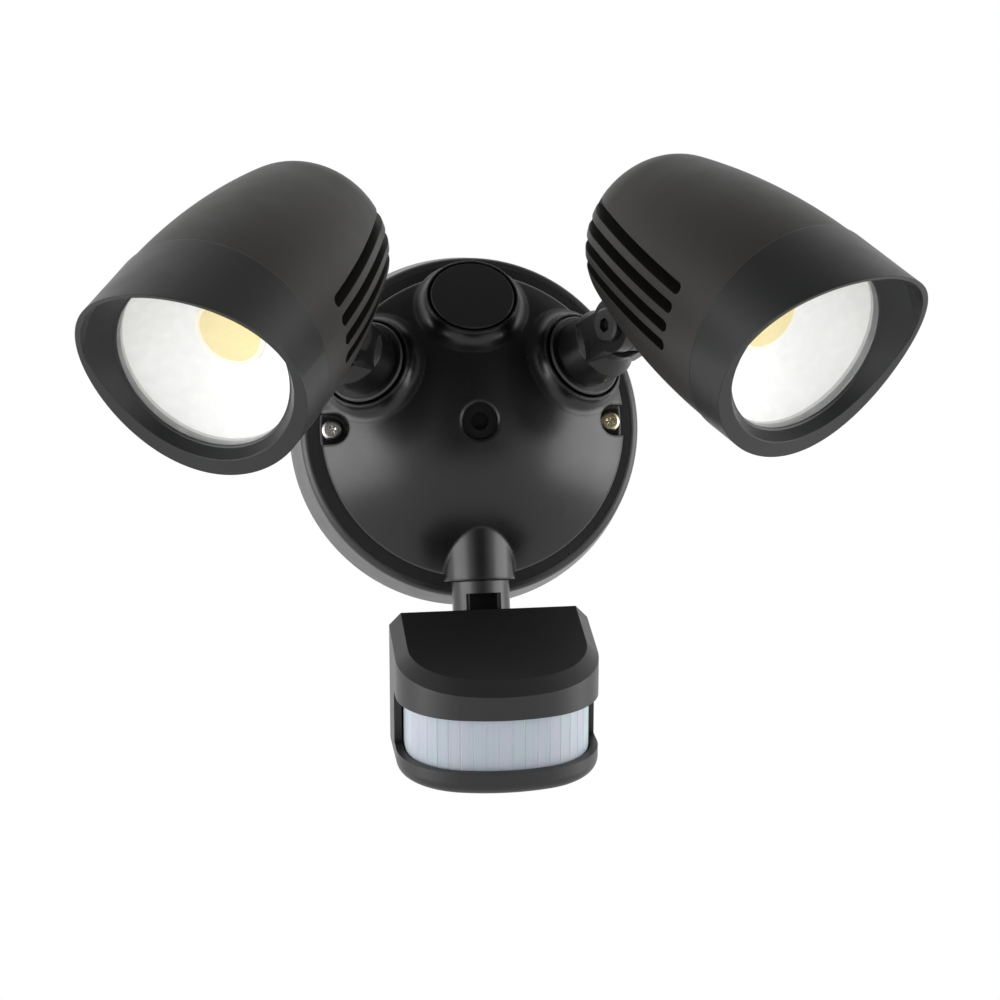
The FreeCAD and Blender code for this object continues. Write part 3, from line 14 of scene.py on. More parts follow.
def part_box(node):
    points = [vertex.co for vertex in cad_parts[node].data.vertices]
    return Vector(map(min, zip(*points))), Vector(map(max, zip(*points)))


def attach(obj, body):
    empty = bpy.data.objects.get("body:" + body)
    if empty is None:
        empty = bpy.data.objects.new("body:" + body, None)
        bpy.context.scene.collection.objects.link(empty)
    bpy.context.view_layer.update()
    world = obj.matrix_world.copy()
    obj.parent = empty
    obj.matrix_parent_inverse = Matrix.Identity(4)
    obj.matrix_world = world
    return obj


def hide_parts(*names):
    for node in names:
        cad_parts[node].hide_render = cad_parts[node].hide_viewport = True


MM = 0.001
SIDES = ("left", "right")
ORIGIN = (0, 0, 0)
QUARTER_TURN = math.radians(90)

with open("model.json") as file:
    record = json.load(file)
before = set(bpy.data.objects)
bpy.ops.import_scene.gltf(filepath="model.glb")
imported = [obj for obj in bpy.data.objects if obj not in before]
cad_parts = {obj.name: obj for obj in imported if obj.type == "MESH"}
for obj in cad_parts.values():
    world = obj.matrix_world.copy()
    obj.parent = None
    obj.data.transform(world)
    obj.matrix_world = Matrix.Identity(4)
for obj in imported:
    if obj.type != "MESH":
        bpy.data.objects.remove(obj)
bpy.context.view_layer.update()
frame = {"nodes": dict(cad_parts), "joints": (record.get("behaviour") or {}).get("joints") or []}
nodes = frame["nodes"]


# ---- shader maths ----

class Value:
    """A number or colour that varies over a surface. Arithmetic on numbers adds Math nodes."""

    def __init__(self, shader, socket):
        self.shader = shader
        self.socket = socket

    def math(self, operation, first, second):
        values = {0: first, 1: second}
        return self.shader.node("ShaderNodeMath", {"operation": operation}, values).out(0)

    def __add__(self, other):
        return self.math("ADD", self, other)

    def __sub__(self, other):
        return self.math("SUBTRACT", self, other)

    def __rsub__(self, other):
        return self.math("SUBTRACT", other, self)

    def __mul__(self, other):
        return self.math("MULTIPLY", self, other)

    __radd__ = __add__
    __rmul__ = __mul__

    def clipped(self):
        """The value kept from 0 to 1."""
        return self.math("MINIMUM", self.math("MAXIMUM", self, 0.0), 1.0)

    def rise(self, start, slope):
        """0 up to start, then rising by slope to 1."""
        return ((self - start) * slope).clipped()


class Node:
    """A shader node, whose outputs are read as values."""

    def __init__(self, shader, item):
        self.shader = shader
        self.item = item

    def out(self, name):
        return Value(self.shader, self.item.outputs[name])


class Shader:
    """The node tree of one material or of the world."""

    def __init__(self, owner):
        owner.use_nodes = True
        self.tree = owner.node_tree
        self.tree.nodes.clear()

    def node(self, kind, settings=None, values=None):
        """Adds a node: first its settings, with a ramp's stops among them, then its sockets."""
        item = self.tree.nodes.new(kind)
        for name, setting in (settings or {}).items():
            if name == "stops":
                fill_ramp(item.color_ramp, setting)
            else:
                setattr(item, name, setting)
        for name, value in (values or {}).items():
            if isinstance(value, Value):
                self.tree.links.new(value.socket, item.inputs[name])
            else:
                item.inputs[name].default_value = value
        return Node(self, item)

    def place(self):
        """Where the point is on the object, in metres."""
        return self.node("ShaderNodeTexCoord").out("Object")

    def away(self):
        """How far the point is from the origin, in metres."""
        length = self.node("ShaderNodeVectorMath", {"operation": "LENGTH"}, {0: self.place()})
        return length.out("Value")

    def parts(self, vector):
        """A node whose outputs are the X, Y and Z of a vector."""
        return self.node("ShaderNodeSeparateXYZ", None, {"Vector": vector})

    def noise(self, size, detail=2.0, where=None):
        """Smooth noise from 0 to 1 with features of about this size in metres."""
        values = {"Vector": where or self.place(), "Scale": 1.0 / size, "Detail": detail}
        return self.node("ShaderNodeTexNoise", None, values).out("Fac")

    def ramp(self, factor, stops):
        return self.node("ShaderNodeValToRGB", {"stops": stops}, {"Fac": factor}).out("Color")

    def blend(self, factor, first, second):
        """Mixes two colours."""
        values = {"Factor": factor, 6: first, 7: second}
        return self.node("ShaderNodeMix", {"data_type": "RGBA"}, values).out(2)

    def mix(self, factor, first, second):
        """Mixes two shaders."""
        values = {"Fac": factor, 1: first, 2: second}
        return self.node("ShaderNodeMixShader", None, values).out("Shader")

    def soft_edges(self, radius):
        """Normals that round every sharp edge by this radius."""
        return self.node("ShaderNodeBevel", {"samples": 6}, {"Radius": radius}).out("Normal")

    def bump(self, height, depth, strength, normal=None):
        values = {"Height": height, "Distance": depth, "Strength": strength}
        if normal is not None:
            values["Normal"] = normal
        return self.node("ShaderNodeBump", None, values).out("Normal")

    def principled(self, **sockets):
        """Ends a material in a Principled shader. Its sockets' names have _ for each space."""
        values = {name.replace("_", " "): value for name, value in sockets.items()}
        surface = self.node("ShaderNodeBsdfPrincipled", None, values).out("BSDF")
        self.node("ShaderNodeOutputMaterial", None, {"Surface": surface})


def fill_ramp(ramp, stops):
    while len(ramp.elements) < len(stops):
        ramp.elements.new(0.5)
    for element, (position, colour) in zip(ramp.elements, stops):
        element.position = position
        element.color = colour


def grey(level, warmth=0.0):
    return (level * (1 + warmth), level, level * (1 - warmth), 1.0)


def new_material(name):
    material = bpy.data.materials.new(name)
    return material, Shader(material)


# ---- materials ----

def powder_coat(name, dark, light, gloss, warmth=0.0, edge=0.5 * MM, shine=0.5):
    """Fine textured paint baked on cast metal, mottled between a dark and a light grey."""
    material, shader = new_material(name)
    mottle = shader.noise(38 * MM, 3.0) * 0.75 + shader.noise(0.9 * MM) * 0.25
    grain = 0.45 * MM
    skin = shader.noise(grain, 3.0) * 0.7 + shader.noise(grain * 6) * 0.6
    shader.principled(
        Base_Color=shader.blend(mottle, grey(dark, warmth), grey(light, warmth)),
        Roughness=gloss + 0.12 * shader.noise(9 * MM) - 0.05,
        Normal=shader.bump(skin, 0.05 * MM, 0.35, shader.soft_edges(edge)),
        Specular_IOR_Level=shine,
    )
    return material


def moulded_plastic(name, dark, light, gloss):
    """Spark-eroded plastic with faint flow marks."""
    material, shader = new_material(name)
    flow = shader.noise(22 * MM, 4.0)
    skin = shader.noise(0.3 * MM)
    shader.principled(
        Base_Color=shader.blend(flow, dark, light),
        Roughness=gloss + 0.1 * shader.noise(5 * MM, 3.0) - 0.05,
        Normal=shader.bump(skin, 0.03 * MM, 0.25, shader.soft_edges(0.3 * MM)),
    )
    return material


def soft_rubber(name, dark, light, shine=0.5, glow=0.0):
    """Rubber or silicone with a dull bloom. Any glow is painted light, in its lighter colour."""
    material, shader = new_material(name)
    bloom = shader.noise(7 * MM, 4.0)
    shader.principled(
        Base_Color=shader.blend(bloom, dark, light),
        Roughness=0.62 + 0.2 * bloom,
        Normal=shader.bump(shader.noise(0.5 * MM, 3.0), 0.04 * MM, 0.4),
        Specular_IOR_Level=shine,
        Emission_Color=light,
        Emission_Strength=glow,
    )
    return material


def worked_metal(name, colour, shade, gloss, pattern=(1, 1, 1)):
    """Bare or plated metal with fine tool marks, drawn out along the axis where pattern is low."""
    material, shader = new_material(name)
    values = {"Vector": shader.place(), "Scale": pattern}
    drawn = shader.node("ShaderNodeMapping", None, values).out("Vector")
    marks = shader.noise(0.35 * MM, 3.0, drawn)
    stain = shader.noise(3 * MM, 4.0)
    shader.principled(
        Base_Color=shader.blend(stain * 0.8, colour, shade),
        Metallic=1.0,
        Roughness=gloss + 0.18 * marks,
        Normal=shader.bump(marks, 0.02 * MM, 0.3, shader.soft_edges(0.2 * MM)),
    )
    return material


def front_glass(name):
    """Toughened glass with a faint film of dust in clouds."""
    material, shader = new_material(name)
    dust = shader.noise(6 * MM, 5.0)
    shader.principled(
        Base_Color=shader.blend(dust, (0.95, 0.97, 0.97, 1), (0.9, 0.93, 0.93, 1)),
        Roughness=0.05 + 0.06 * dust,
        Alpha=0.12 + 0.06 * dust,
    )
    return material


def bright_bowl(name):
    """White enamelled reflector with a faint ripple, and a faint painted glow that brightens it."""
    material, shader = new_material(name)
    ripple = shader.noise(4 * MM)
    shader.principled(
        Base_Color=shader.blend(ripple, grey(0.9), grey(0.95)),
        Roughness=0.22 + 0.1 * ripple,
        Normal=shader.bump(ripple, 0.05 * MM, 0.3),
        # This emission is a painted glow; the lamp itself is not lit.
        Emission_Color=shader.blend(ripple, grey(0.95), grey(1.0)),
        Emission_Strength=0.22,
    )
    return material


def phosphor(name):
    """Yellow silicone over a grid of chips, with a faint painted glow."""
    material, shader = new_material(name)
    values = {"Vector": shader.place(), "Scale": 1.0 / (1.6 * MM)}
    cells = shader.node("ShaderNodeTexVoronoi", {"feature": "F1"}, values).out("Distance")
    cast = shader.noise(2 * MM, 3.0)
    mottle = (cells * 0.5 + cast * 0.5).clipped()
    shader.principled(
        Base_Color=shader.blend(mottle, (1.0, 0.74, 0.18, 1), (1.0, 0.87, 0.4, 1)),
        Roughness=0.3 + 0.15 * cast,
        Normal=shader.bump(cast, 0.1 * MM, 0.3),
        # This emission is a painted glow; the chips are not lit.
        Emission_Color=shader.blend(mottle, (1.0, 0.74, 0.2, 1), (1.0, 0.82, 0.3, 1)),
        Emission_Strength=0.14,
    )
    return material


def lens_plastic(name):
    """Milky polyethylene with upright streaks, and a painted shimmer of faint blue, lilac and
    green.
    """
    material, shader = new_material(name)
    sideways = {"X": shader.parts(shader.place()).out("X")}
    across = shader.node("ShaderNodeCombineXYZ", None, sideways).out("Vector")
    band = shader.noise(13 * MM, 1.0, across)
    fine = shader.noise(1.6 * MM, 1.0, across)
    cloud = shader.noise(14 * MM, 3.0)
    # The banded blue, lilac and green tint is a painted shimmer of reflected light.
    tint = shader.ramp(band * 0.7 + cloud * 0.3, [
        (0.36, (0.43, 0.51, 0.51, 1)),
        (0.46, (0.42, 0.48, 0.54, 1)),
        (0.54, (0.47, 0.48, 0.56, 1)),
        (0.64, (0.45, 0.52, 0.54, 1)),
    ])
    streak = (fine * 3.0 - 1.3).clipped() * 0.28
    shader.principled(
        Base_Color=shader.blend(streak, tint, (0.32, 0.38, 0.4, 1)),
        Roughness=0.34 + 0.1 * cloud,
        Normal=shader.bump(fine, 0.04 * MM, 0.2),
        Specular_IOR_Level=0.4,
    )
    return material


def circuit_board(name, base, track):
    """Solder mask over copper tracks."""
    material, shader = new_material(name)
    values = {"Vector": shader.place(), "Scale": 1.0 / (14 * MM), "Mortar Size": 0.06}
    tracks = shader.node("ShaderNodeTexBrick", {"offset": 0.35}, values).out("Fac")
    shader.principled(
        Base_Color=shader.blend(tracks, base, track),
        Roughness=0.35 + 0.15 * shader.noise(3 * MM),
        Normal=shader.bump(tracks, 0.04 * MM, 0.5),
    )
    return material


def paint(material, *names):
    for name in names:
        mesh = nodes[name].data
        mesh.materials.clear()
        mesh.materials.append(material)


def both(name):
    return [name + "_" + side for side in SIDES]


def finish_nodes(zinc_plate):
    """Gives each CAD node its material."""
    # canopy
    paint(powder_coat("base_powder_coat", 0.02, 0.028, 0.34), "base_housing")
    paint(powder_coat("cover_powder_coat", 0.0035, 0.006, 0.28, edge=1.5 * MM), "front_cover")
    paint(moulded_plastic("blank_plug_plastic", grey(0.007), grey(0.01), 0.55), "blank_plug")
    paint(soft_rubber("plug_rubber", grey(0.0015), grey(0.003), 0.2), "centre_plug")
    paint(soft_rubber("black_rubber", grey(0.005), grey(0.009)),
          "wall_gasket", "cover_gasket", "plug_seal", "cable_grommet", *both("stem_seal"))
    paint(moulded_plastic("driver_case_plastic", grey(0.02), grey(0.03), 0.5), "led_driver")
    paint(moulded_plastic("terminal_cream", (0.72, 0.68, 0.52, 1), (0.8, 0.76, 0.62, 1), 0.3),
          "terminal_block")
    paint(worked_metal("brass", (0.8, 0.6, 0.25, 1), (0.6, 0.42, 0.16, 1), 0.25), "terminal_screws")
    paint(worked_metal("green_passivate", (0.08, 0.35, 0.12, 1), (0.04, 0.22, 0.08, 1), 0.3),
          "earth_screw")

    # lamps and their stems
    paint(powder_coat("lamp_powder_coat", 0.022, 0.03, 0.46, 0.08, shine=0.36),
          *both("lamp_housing"), *both("cooling_fins"))
    paint(powder_coat("bezel_powder_coat", 0.011, 0.016, 0.4, -0.03, shine=0.45), *both("bezel"))
    paint(powder_coat("stem_satin_paint", 0.004, 0.007, 0.28), *both("swivel_stem"))
    paint(front_glass("toughened_glass"), *both("lens_glass"))
    paint(soft_rubber("clear_silicone", grey(0.6), grey(0.7)), *both("glass_gasket"))
    paint(bright_bowl("white_enamel"), *both("reflector"))
    paint(phosphor("phosphor_silicone"), *both("led_phosphor"))
    paint(circuit_board("white_solder_mask", grey(0.8), grey(0.68)),
          *both("led_substrate"), *both("led_board"))

    # sensor
    paint(moulded_plastic("sensor_shell_plastic", grey(0.01), grey(0.014), 0.4),
          "sensor_housing", "sensor_base")
    paint(moulded_plastic("sensor_fork_plastic", grey(0.012), grey(0.018), 0.32), "sensor_fork")
    paint(moulded_plastic("knob_plastic", grey(0.015), grey(0.022), 0.25),
          "time_knob", "light_level_knob", "range_knob")
    paint(circuit_board("green_solder_mask", (0.02, 0.13, 0.05, 1), (0.05, 0.24, 0.1, 1)),
          "sensor_board")
    paint(worked_metal("detector_can", grey(0.6), grey(0.5), 0.2), "pir_element")
    paint(moulded_plastic("photocell_resin", (0.5, 0.1, 0.03, 1), (0.6, 0.3, 0.12, 1), 0.15),
          "photocell")
    paint(moulded_plastic("relay_blue", (0.02, 0.07, 0.3, 1), (0.03, 0.1, 0.38, 1), 0.25),
          "sensor_relay")

    # small hardware
    paint(zinc_plate, "pan_clip", "sensor_screws", *both("friction_washers"), *both("led_screws"))
    paint(worked_metal("blackened_steel", grey(0.09), grey(0.05), 0.3),
          *both("lock_nut"), *both("pivot_bolt"), *both("pivot_nut"), "fork_screw", "fork_nut")


# ---- modelling by hand ----

def select_only(piece):
    bpy.ops.object.select_all(action="DESELECT")
    piece.select_set(True)
    bpy.context.view_layer.objects.active = piece


def start_from(primitive, name, **shape):
    """Adds a primitive with nothing else selected, and names it."""
    bpy.ops.object.select_all(action="DESELECT")
    primitive(**shape)
    piece = bpy.context.object
    piece.name = name
    piece.data.name = name
    return piece


def settle():
    """Moves the place, turn and scale of the selected object into its mesh."""
    bpy.ops.object.transform_apply(location=True, rotation=True, scale=True)


def choose(piece, kind, chosen):
    """Goes into edit mode with only the edges or faces selected whose middle passes the test."""
    bpy.ops.object.mode_set(mode="EDIT")
    bpy.ops.mesh.select_mode(type=kind)
    bpy.ops.mesh.select_all(action="DESELECT")
    bpy.ops.object.mode_set(mode="OBJECT")
    for item in piece.data.edges if kind == "EDGE" else piece.data.polygons:
        corners = [piece.data.vertices[corner].co for corner in item.vertices]
        item.select = chosen(sum(corners, Vector()) / len(corners))
    bpy.ops.object.mode_set(mode="EDIT")


def close_up():
    """Merges what lies together, turns all faces outwards and leaves edit mode."""
    bpy.ops.mesh.select_all(action="SELECT")
    bpy.ops.mesh.remove_doubles(threshold=0.002 * MM)
    bpy.ops.mesh.normals_make_consistent(inside=False)
    bpy.ops.object.mode_set(mode="OBJECT")


def apply_modifier(piece, kind, settings):
    modifier = piece.modifiers.new(kind.lower(), kind)
    for name, setting in settings.items():
        setattr(modifier, name, setting)
    select_only(piece)
    bpy.ops.object.modifier_apply(modifier=modifier.name)


def seat(piece, where, smooth_below=32):
    """Puts a piece modelled in a body's own frame where that frame is.

    Its object stays at the origin. Edges under smooth_below degrees are shaded smooth.
    """
    select_only(piece)
    settle()
    piece.matrix_world = where
    settle()
    bpy.ops.object.shade_smooth_by_angle(angle=math.radians(smooth_below))


def copy_of(piece, name):
    """A second piece with its own mesh."""
    twin = piece.copy()
    twin.data = piece.data.copy()
    twin.name = name
    twin.data.name = name
    bpy.context.scene.collection.objects.link(twin)
    return twin


def finish(piece, material, body, slot, *replaced):
    piece.data.materials.clear()
    piece.data.materials.append(material)
    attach(piece, body)
    if replaced:
        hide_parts(*replaced)


# ---- cover screws ----

SCREW_HEAD_RADIUS = 3.5 * MM
SCREW_HEAD_HEIGHT = 1.7 * MM
SCREW_HEAD_SIDES = 48
DOME_ROUNDING = 1.35 * MM
DOME_STEPS = 7
DOME_PROFILE = 0.55
SHANK_RADIUS = 1.9 * MM
SHANK_LENGTH = 9 * MM
POINT_INSET = 0.5 * MM
POINT_LENGTH = 0.6 * MM
CROSS_WIDTH = 1.0 * MM
CROSS_REACH = 2.1 * MM
CROSS_DEPTH = 1.2 * MM
CROSS_TIP = (0.45, 0.6, 1.0)
# How far the screws' axes and seats lie inside the box of the CAD screws.
SCREW_AXIS_INSET = 3.6 * MM
SCREW_SEAT_INSET = 1.9 * MM
LEFT_SCREW_TURN = math.radians(20)
RIGHT_SCREW_TURN = math.radians(62)


def cross_cutter():
    """Two crossed blades that narrow to their tip, the shape of the screwdriver's end."""
    cutter = start_from(bpy.ops.mesh.primitive_cube_add, "cross_cutter",
                        size=1.0, location=(0, 0, SCREW_HEAD_HEIGHT))
    bpy.ops.object.mode_set(mode="EDIT")
    bpy.ops.transform.resize(value=(2 * CROSS_REACH, CROSS_WIDTH, 2 * CROSS_DEPTH))
    choose(cutter, "FACE", lambda at: at.z < -0.9 * CROSS_DEPTH)
    bpy.ops.transform.resize(value=CROSS_TIP)
    bpy.ops.mesh.select_all(action="SELECT")
    bpy.ops.mesh.duplicate()
    bpy.ops.transform.rotate(value=QUARTER_TURN, orient_axis="Z", center_override=ORIGIN)
    bpy.ops.object.mode_set(mode="OBJECT")
    return cutter


def dome_screw(name):
    """A domed head with a cross recess on a short shank, its seat at the origin and +Z outwards."""
    half = SCREW_HEAD_HEIGHT / 2
    screw = start_from(bpy.ops.mesh.primitive_cylinder_add, name, vertices=SCREW_HEAD_SIDES,
                       radius=SCREW_HEAD_RADIUS, depth=SCREW_HEAD_HEIGHT, location=(0, 0, half))
    choose(screw, "EDGE", lambda at: at.z > 0.9 * half and at.xy.length > 0.9 * SCREW_HEAD_RADIUS)
    bpy.ops.mesh.bevel(offset=DOME_ROUNDING, segments=DOME_STEPS, profile=DOME_PROFILE)
    choose(screw, "FACE", lambda at: at.z < -0.99 * half)
    bpy.ops.mesh.inset(thickness=SCREW_HEAD_RADIUS - SHANK_RADIUS)
    bpy.ops.mesh.extrude_region_move(TRANSFORM_OT_translate={"value": (0, 0, -SHANK_LENGTH)})
    bpy.ops.mesh.inset(thickness=POINT_INSET)
    bpy.ops.transform.translate(value=(0, 0, -POINT_LENGTH))
    bpy.ops.object.mode_set(mode="OBJECT")
    cutter = cross_cutter()
    apply_modifier(screw, "BOOLEAN",
                   {"operation": "DIFFERENCE", "object": cutter, "use_self": True})
    bpy.data.objects.remove(cutter)
    return screw


def fit_cover_screws(zinc_plate):
    """One screw in each notch of the cover, each with its cross turned its own way."""
    low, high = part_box("cover_screws")
    reach = high[0] - SCREW_AXIS_INSET
    seat_depth = low[1] + SCREW_SEAT_INSET
    brassy = worked_metal("yellow_zinc_plate", (0.95, 0.88, 0.66, 1), (0.8, 0.66, 0.4, 1), 0.2)
    outwards = Matrix.Rotation(QUARTER_TURN, 4, "X")
    left = dome_screw("cover_screw_left")
    right = copy_of(left, "cover_screw_right")
    for screw, across, turn, plate in ((left, -reach, LEFT_SCREW_TURN, zinc_plate),
                                       (right, reach, RIGHT_SCREW_TURN, brassy)):
        turned = Matrix.Rotation(turn, 4, "Z")
        seat(screw, Matrix.Translation((across, seat_depth, 0)) @ outwards @ turned)
        finish(screw, plate, "canopy", "bright_steel", "cover_screws")


# ---- light sources ----

BEAD_RING_RADIUS = 11.0 * MM
BEAD_RADIUS = 0.85 * MM
BEAD_SIDES = 14
BEAD_STEPS = 72
BEAD_FLATNESS = 0.75
# Where each lamp roughly points at rest. A face of its glass looks that way above this cosine.
LAMP_AIMS = {"left": (-0.46, -0.69, -0.565), "right": (0.44, -0.69, -0.565)}
FACES_AIM = 0.9


def lamp_place(side):
    """The frame of a light source: its middle, with +Z out through the glass."""
    forward = Vector()
    for face in nodes["lens_glass_" + side].data.polygons:
        if face.normal.dot(Vector(LAMP_AIMS[side])) > FACES_AIM:
            forward += face.normal * face.area
    forward.normalize()
    across = Vector((0, 0, 1)).cross(forward).normalized()
    turned = Matrix((across, forward.cross(across), forward)).transposed().to_4x4()
    low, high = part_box("led_phosphor_" + side)
    return Matrix.Translation((Vector(low) + Vector(high)) / 2) @ turned


def silicone_bead(name):
    """The soft bead that holds the phosphor, a flattened ring about +Z."""
    bead = start_from(bpy.ops.mesh.primitive_circle_add, name, vertices=BEAD_SIDES,
                      radius=BEAD_RADIUS, fill_type="NOTHING",
                      location=(BEAD_RING_RADIUS, 0, 0), rotation=(QUARTER_TURN, 0, 0))
    settle()
    bpy.ops.object.mode_set(mode="EDIT")
    bpy.ops.mesh.select_all(action="SELECT")
    bpy.ops.mesh.spin(steps=BEAD_STEPS, angle=math.radians(360), center=ORIGIN, axis=(0, 0, 1))
    bpy.ops.mesh.select_all(action="SELECT")
    bpy.ops.transform.resize(value=(1, 1, BEAD_FLATNESS), center_override=ORIGIN)
    close_up()
    return bead


def dress_light_sources():
    # The bead gets a faint painted glow; it gives no light of its own.
    silicone = soft_rubber("white_silicone_bead",
                           (0.95, 0.88, 0.6, 1), (0.98, 0.94, 0.75, 1), glow=0.25)
    first = silicone_bead("led_bead_left")
    beads = (first, copy_of(first, "led_bead_right"))
    for side, bead in zip(SIDES, beads):
        seat(bead, lamp_place(side), smooth_below=60)
        finish(bead, silicone, side + "_lamp", "clear_silicone")


# ---- sensor window ----

SENSOR_TILT = math.radians(18)
SENSOR_PIVOT = Vector((0, 33, 15)) * MM
# The window's outline from above is a flat front curve round (0, CURVE_BACK), then on each side a
# tighter curve whose centre lies CORNER_ACROSS from the middle, then a straight end to LENS_TAIL.
LENS_CURVE = 54.6 * MM
LENS_CORNER = 21.6 * MM
CORNER_ACROSS = 8.8 * MM
CURVE_BACK = 25.4 * MM
LENS_RISE = 11.0 * MM
LENS_TAIL = 2.0 * MM
LENS_WALL = 1.2 * MM
FACETS_IN_CORNER = 7
FACETS_IN_FRONT = 7
FACET_GROOVE = 0.28 * MM
FACET_RISE = 0.16 * MM
TIE_BREAK = 0.001


def sensor_place():
    """The sensor's own frame, tipped down at rest."""
    joint = next(joint for joint in frame["joints"] if joint["name"] == "sensor_tilt")
    tipped = Matrix.Rotation(SENSOR_TILT, 4, "X")
    return Matrix.Translation(Vector(joint["pos_m"])) @ tipped @ Matrix.Translation(-SENSOR_PIVOT)


def last_edge(piece, side):
    """Selects the outermost upright edge, on the right for side 1 and on the left for side -1."""
    def reach(at):
        return side * at.x + TIE_BREAK * abs(at.y)

    furthest = max(reach(vertex.co) for vertex in piece.data.vertices)
    choose(piece, "EDGE", lambda at: reach(at) > furthest - 0.01 * MM and abs(at.z) < 0.1 * MM)


def spin_on(piece, side, steps, angle, center):
    """Spins the last edge on that side into a strip of upright facets, towards the back."""
    last_edge(piece, side)
    bpy.ops.mesh.spin(steps=steps, angle=-side * angle, center=center, axis=(0, 0, 1))
    bpy.ops.object.mode_set(mode="OBJECT")


def faceted_window():
    """A curved window of flat facets, spun strip by strip from its middle, then given its wall."""
    half_angle = math.asin(CORNER_ACROSS / (LENS_CURVE - LENS_CORNER))
    half_step = half_angle / FACETS_IN_FRONT
    front = CURVE_BACK - LENS_CURVE * math.cos(half_step)
    corner_back = CURVE_BACK - (LENS_CURVE - LENS_CORNER) * math.cos(half_angle)
    window = start_from(bpy.ops.mesh.primitive_plane_add, "sensor_window", size=1.0,
                        location=(0, front, 0), rotation=(QUARTER_TURN, 0, 0))
    window.scale = (2 * LENS_CURVE * math.sin(half_step), 2 * LENS_RISE, 1)
    settle()
    for side in (1, -1):
        spin_on(window, side, FACETS_IN_FRONT // 2, half_angle - half_step, (0, CURVE_BACK, 0))
        spin_on(window, side, FACETS_IN_CORNER, QUARTER_TURN - half_angle,
                (side * CORNER_ACROSS, corner_back, 0))
        last_edge(window, side)
        to_tail = (0, LENS_TAIL - corner_back, 0)
        bpy.ops.mesh.extrude_region_move(TRANSFORM_OT_translate={"value": to_tail})
        bpy.ops.object.mode_set(mode="OBJECT")
    bpy.ops.object.mode_set(mode="EDIT")
    close_up()
    if window.data.polygons[0].normal.y > 0:
        window.data.flip_normals()
    choose(window, "FACE", lambda at: True)
    bpy.ops.mesh.inset(thickness=FACET_GROOVE, depth=FACET_RISE, use_individual=True)
    bpy.ops.object.mode_set(mode="OBJECT")
    apply_modifier(window, "SOLIDIFY", {"thickness": LENS_WALL, "offset": -1.0})
    return window


def fit_sensor_window():
    window = faceted_window()
    seat(window, sensor_place(), smooth_below=5)
    finish(window, lens_plastic("milky_polyethylene"), "sensor", "pir_lens_plastic", "sensor_lens")


# ---- setting marks ----

KNOB_SPACING = 15.0 * MM
KNOB_FORWARD = 6.0 * MM
SENSOR_BOTTOM = 17.4 * MM
MARK_WIDTH = 0.45 * MM
MARK_LENGTH = 1.1 * MM
MARK_HEIGHT = 0.6 * MM
MARK_ROUNDING = 0.12 * MM
MARK_REACH = 6.5 * MM
MARK_COUNT = 7
MARK_RANGE = math.radians(270)


def setting_marks(name):
    """Raised ticks round a knob about +Z, from its lowest to its highest setting."""
    marks = start_from(bpy.ops.mesh.primitive_cube_add, name,
                       size=1.0, location=(0, MARK_REACH, 0))
    marks.scale = (MARK_WIDTH, MARK_LENGTH, MARK_HEIGHT)
    settle()
    choose(marks, "EDGE", lambda at: at.z > MARK_HEIGHT / 4)
    bpy.ops.mesh.bevel(offset=MARK_ROUNDING, segments=2)
    bpy.ops.mesh.select_all(action="SELECT")
    bpy.ops.transform.rotate(value=MARK_RANGE / 2, orient_axis="Z", center_override=ORIGIN)
    step = MARK_RANGE / (MARK_COUNT - 1)
    for _ in range(MARK_COUNT - 1):
        bpy.ops.mesh.duplicate()
        bpy.ops.transform.rotate(value=-step, orient_axis="Z", center_override=ORIGIN)
    bpy.ops.object.mode_set(mode="OBJECT")
    return marks


def fit_setting_marks():
    """A ring of marks round each of the three knobs under the sensor."""
    mark_paint = moulded_plastic("mark_paint", grey(0.35), grey(0.42), 0.5)
    first = setting_marks("time_marks")
    rings = (first, copy_of(first, "light_level_marks"), copy_of(first, "range_marks"))
    facing_down = Matrix.Rotation(2 * QUARTER_TURN, 4, "X")
    for across, marks in zip((-KNOB_SPACING, 0, KNOB_SPACING), rings):
        middle = Matrix.Translation((across, -KNOB_FORWARD, -SENSOR_BOTTOM))
        seat(marks, sensor_place() @ middle @ facing_down)
        finish(marks, mark_paint, "sensor", "sensor_plastic")


# ---- studio ----

VIEW_AZIMUTH = math.radians(-7.138)
VIEW_ELEVATION = math.radians(-1.959)
VIEW_ROLL = math.radians(-2.263)
VIEW_TARGET = Vector((4.632, -60.0, -27.438)) * MM
VIEW_DISTANCE = 880.0 * MM
VIEW_LENS = 94.136
FILM_WIDTH = 36.0
NEAREST_SEEN = 0.05
FURTHEST_SEEN = 40.0

AMBIENT = 0.11
SIDE_FIELDS = 1.5
BACK_FIELD = 0.35
# Name, place, what it points at, width, height, watts.
SOFTBOXES = (
    ("left_softbox", (-1.05, -0.45, -0.3), (0, -0.08, -0.02), 1.1, 1.1, 12),
    ("right_softbox", (1.1, -0.4, -0.25), (0, -0.08, -0.02), 1.1, 1.1, 12),
    ("low_fill", (0.1, -0.9, -0.8), (0, -0.08, -0.03), 0.8, 0.6, 6),
)

FLOOR_HEIGHT = -0.5
FLOOR_SIZE = 3.6
# The share of plain white that the floor shows in its middle. At its rim it is all white.
FLOOR_GLOW = 0.6


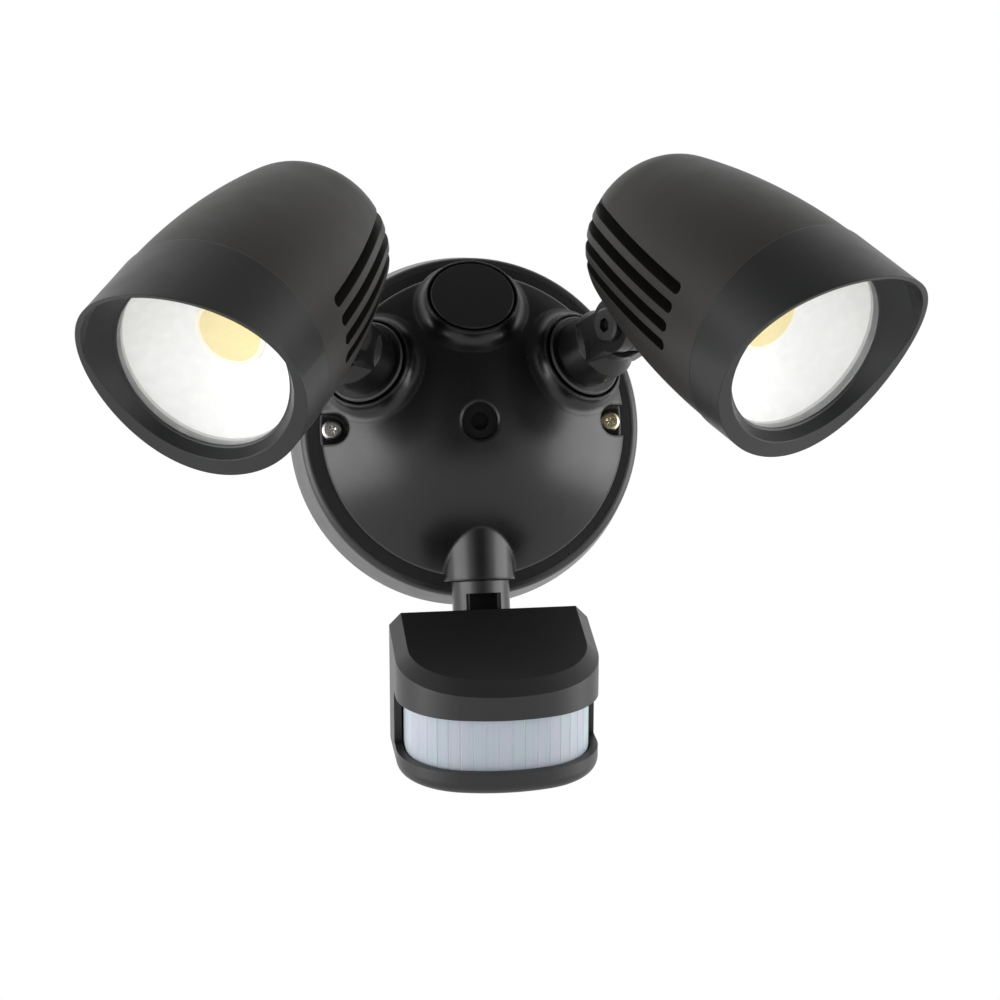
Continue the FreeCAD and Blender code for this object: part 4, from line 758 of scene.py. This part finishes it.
def place_camera():
    """A long lens from a little left of and below the light, rolled as the photograph is."""
    level = math.cos(VIEW_ELEVATION)
    back = Vector((math.sin(VIEW_AZIMUTH) * level, -math.cos(VIEW_AZIMUTH) * level,
                   math.sin(VIEW_ELEVATION)))
    right = Vector((0, 0, 1)).cross(back).normalized()
    up = back.cross(right)
    rolled_right = right * math.cos(VIEW_ROLL) + up * math.sin(VIEW_ROLL)
    rolled_up = up * math.cos(VIEW_ROLL) - right * math.sin(VIEW_ROLL)
    turned = Matrix((rolled_right, rolled_up, back)).transposed().to_4x4()
    data = bpy.data.cameras.new("camera")
    data.lens = VIEW_LENS
    data.sensor_width = FILM_WIDTH
    data.clip_start = NEAREST_SEEN
    data.clip_end = FURTHEST_SEEN
    camera = bpy.data.objects.new("camera", data)
    camera.matrix_world = Matrix.Translation(VIEW_TARGET + back * VIEW_DISTANCE) @ turned
    bpy.context.scene.collection.objects.link(camera)
    bpy.context.scene.camera = camera


def softbox(name, place, target, width, height, watts):
    """A rectangular light that the camera doesn't see."""
    data = bpy.data.lights.new(name, "AREA")
    data.shape = "RECTANGLE"
    data.size = width
    data.size_y = height
    data.energy = watts
    light = bpy.data.objects.new(name, data)
    light.location = place
    light.rotation_euler = (Vector(target) - Vector(place)).to_track_quat("-Z", "Y").to_euler()
    light.visible_camera = False
    bpy.context.scene.collection.objects.link(light)


def light_studio():
    """Broad bright fields on both sides, dark in front and above, as the reflections show.

    The camera sees plain white instead, also through the glass and in reflections of the back.
    """
    world = bpy.data.worlds.new("studio")
    bpy.context.scene.world = world
    shader = Shader(world)
    way = shader.parts(shader.node("ShaderNodeTexCoord").out("Generated"))
    rays = shader.node("ShaderNodeLightPath")
    aside = shader.node("ShaderNodeMath", {"operation": "ABSOLUTE"}, {0: way.out("X")}).out(0)
    beside = aside.rise(0.22, 2.4)
    low = 1.0 - way.out("Z").rise(0.12, 1.7)
    behind = way.out("Y").rise(0.0, 2.0)
    level = AMBIENT + SIDE_FIELDS * beside * low + BACK_FIELD * behind
    shown = (rays.out("Is Camera Ray") + rays.out("Is Transmission Ray")
             + rays.out("Is Glossy Ray") * behind).clipped()
    strength = level * (1.0 - shown) + shown
    values = {"Color": grey(1.0), "Strength": strength}
    sky = shader.node("ShaderNodeBackground", None, values).out("Background")
    shader.node("ShaderNodeOutputWorld", None, {"Surface": sky})
    for row in SOFTBOXES:
        softbox(*row)


def lay_floor():
    """A pale floor under the light that keeps its shadow, white at its rim and clear from below."""
    floor = start_from(bpy.ops.mesh.primitive_plane_add, "floor",
                       size=FLOOR_SIZE, location=(0, 0, FLOOR_HEIGHT))
    material, shader = new_material("pale_floor")
    diffuse = shader.node("ShaderNodeBsdfDiffuse", None, {"Color": grey(0.85)}).out("BSDF")
    values = {"Color": grey(1.0), "Strength": 1.0}
    glow = shader.node("ShaderNodeEmission", None, values).out("Emission")
    clear = shader.node("ShaderNodeBsdfTransparent").out("BSDF")
    rays = shader.node("ShaderNodeLightPath")
    seen = (rays.out("Is Camera Ray") + rays.out("Is Glossy Ray")
            + rays.out("Is Transmission Ray")).clipped()
    rim = (shader.away() * 1.1 - 0.6).clipped()
    pale = shader.mix(seen * (FLOOR_GLOW + (1.0 - FLOOR_GLOW) * rim), diffuse, glow)
    underside = shader.node("ShaderNodeNewGeometry").out("Backfacing")
    sheet = shader.mix(underside, pale, clear)
    shader.node("ShaderNodeOutputMaterial", None, {"Surface": sheet})
    floor.data.materials.append(material)


bpy.context.scene.view_settings.view_transform = "Standard"
zinc = worked_metal("zinc_plate", (0.92, 0.91, 0.88, 1), (0.75, 0.72, 0.65, 1), 0.2, (1, 1, 0.15))
finish_nodes(zinc)
place_camera()
fit_cover_screws(zinc)
dress_light_sources()
fit_sensor_window()
fit_setting_marks()
light_studio()
lay_floor()
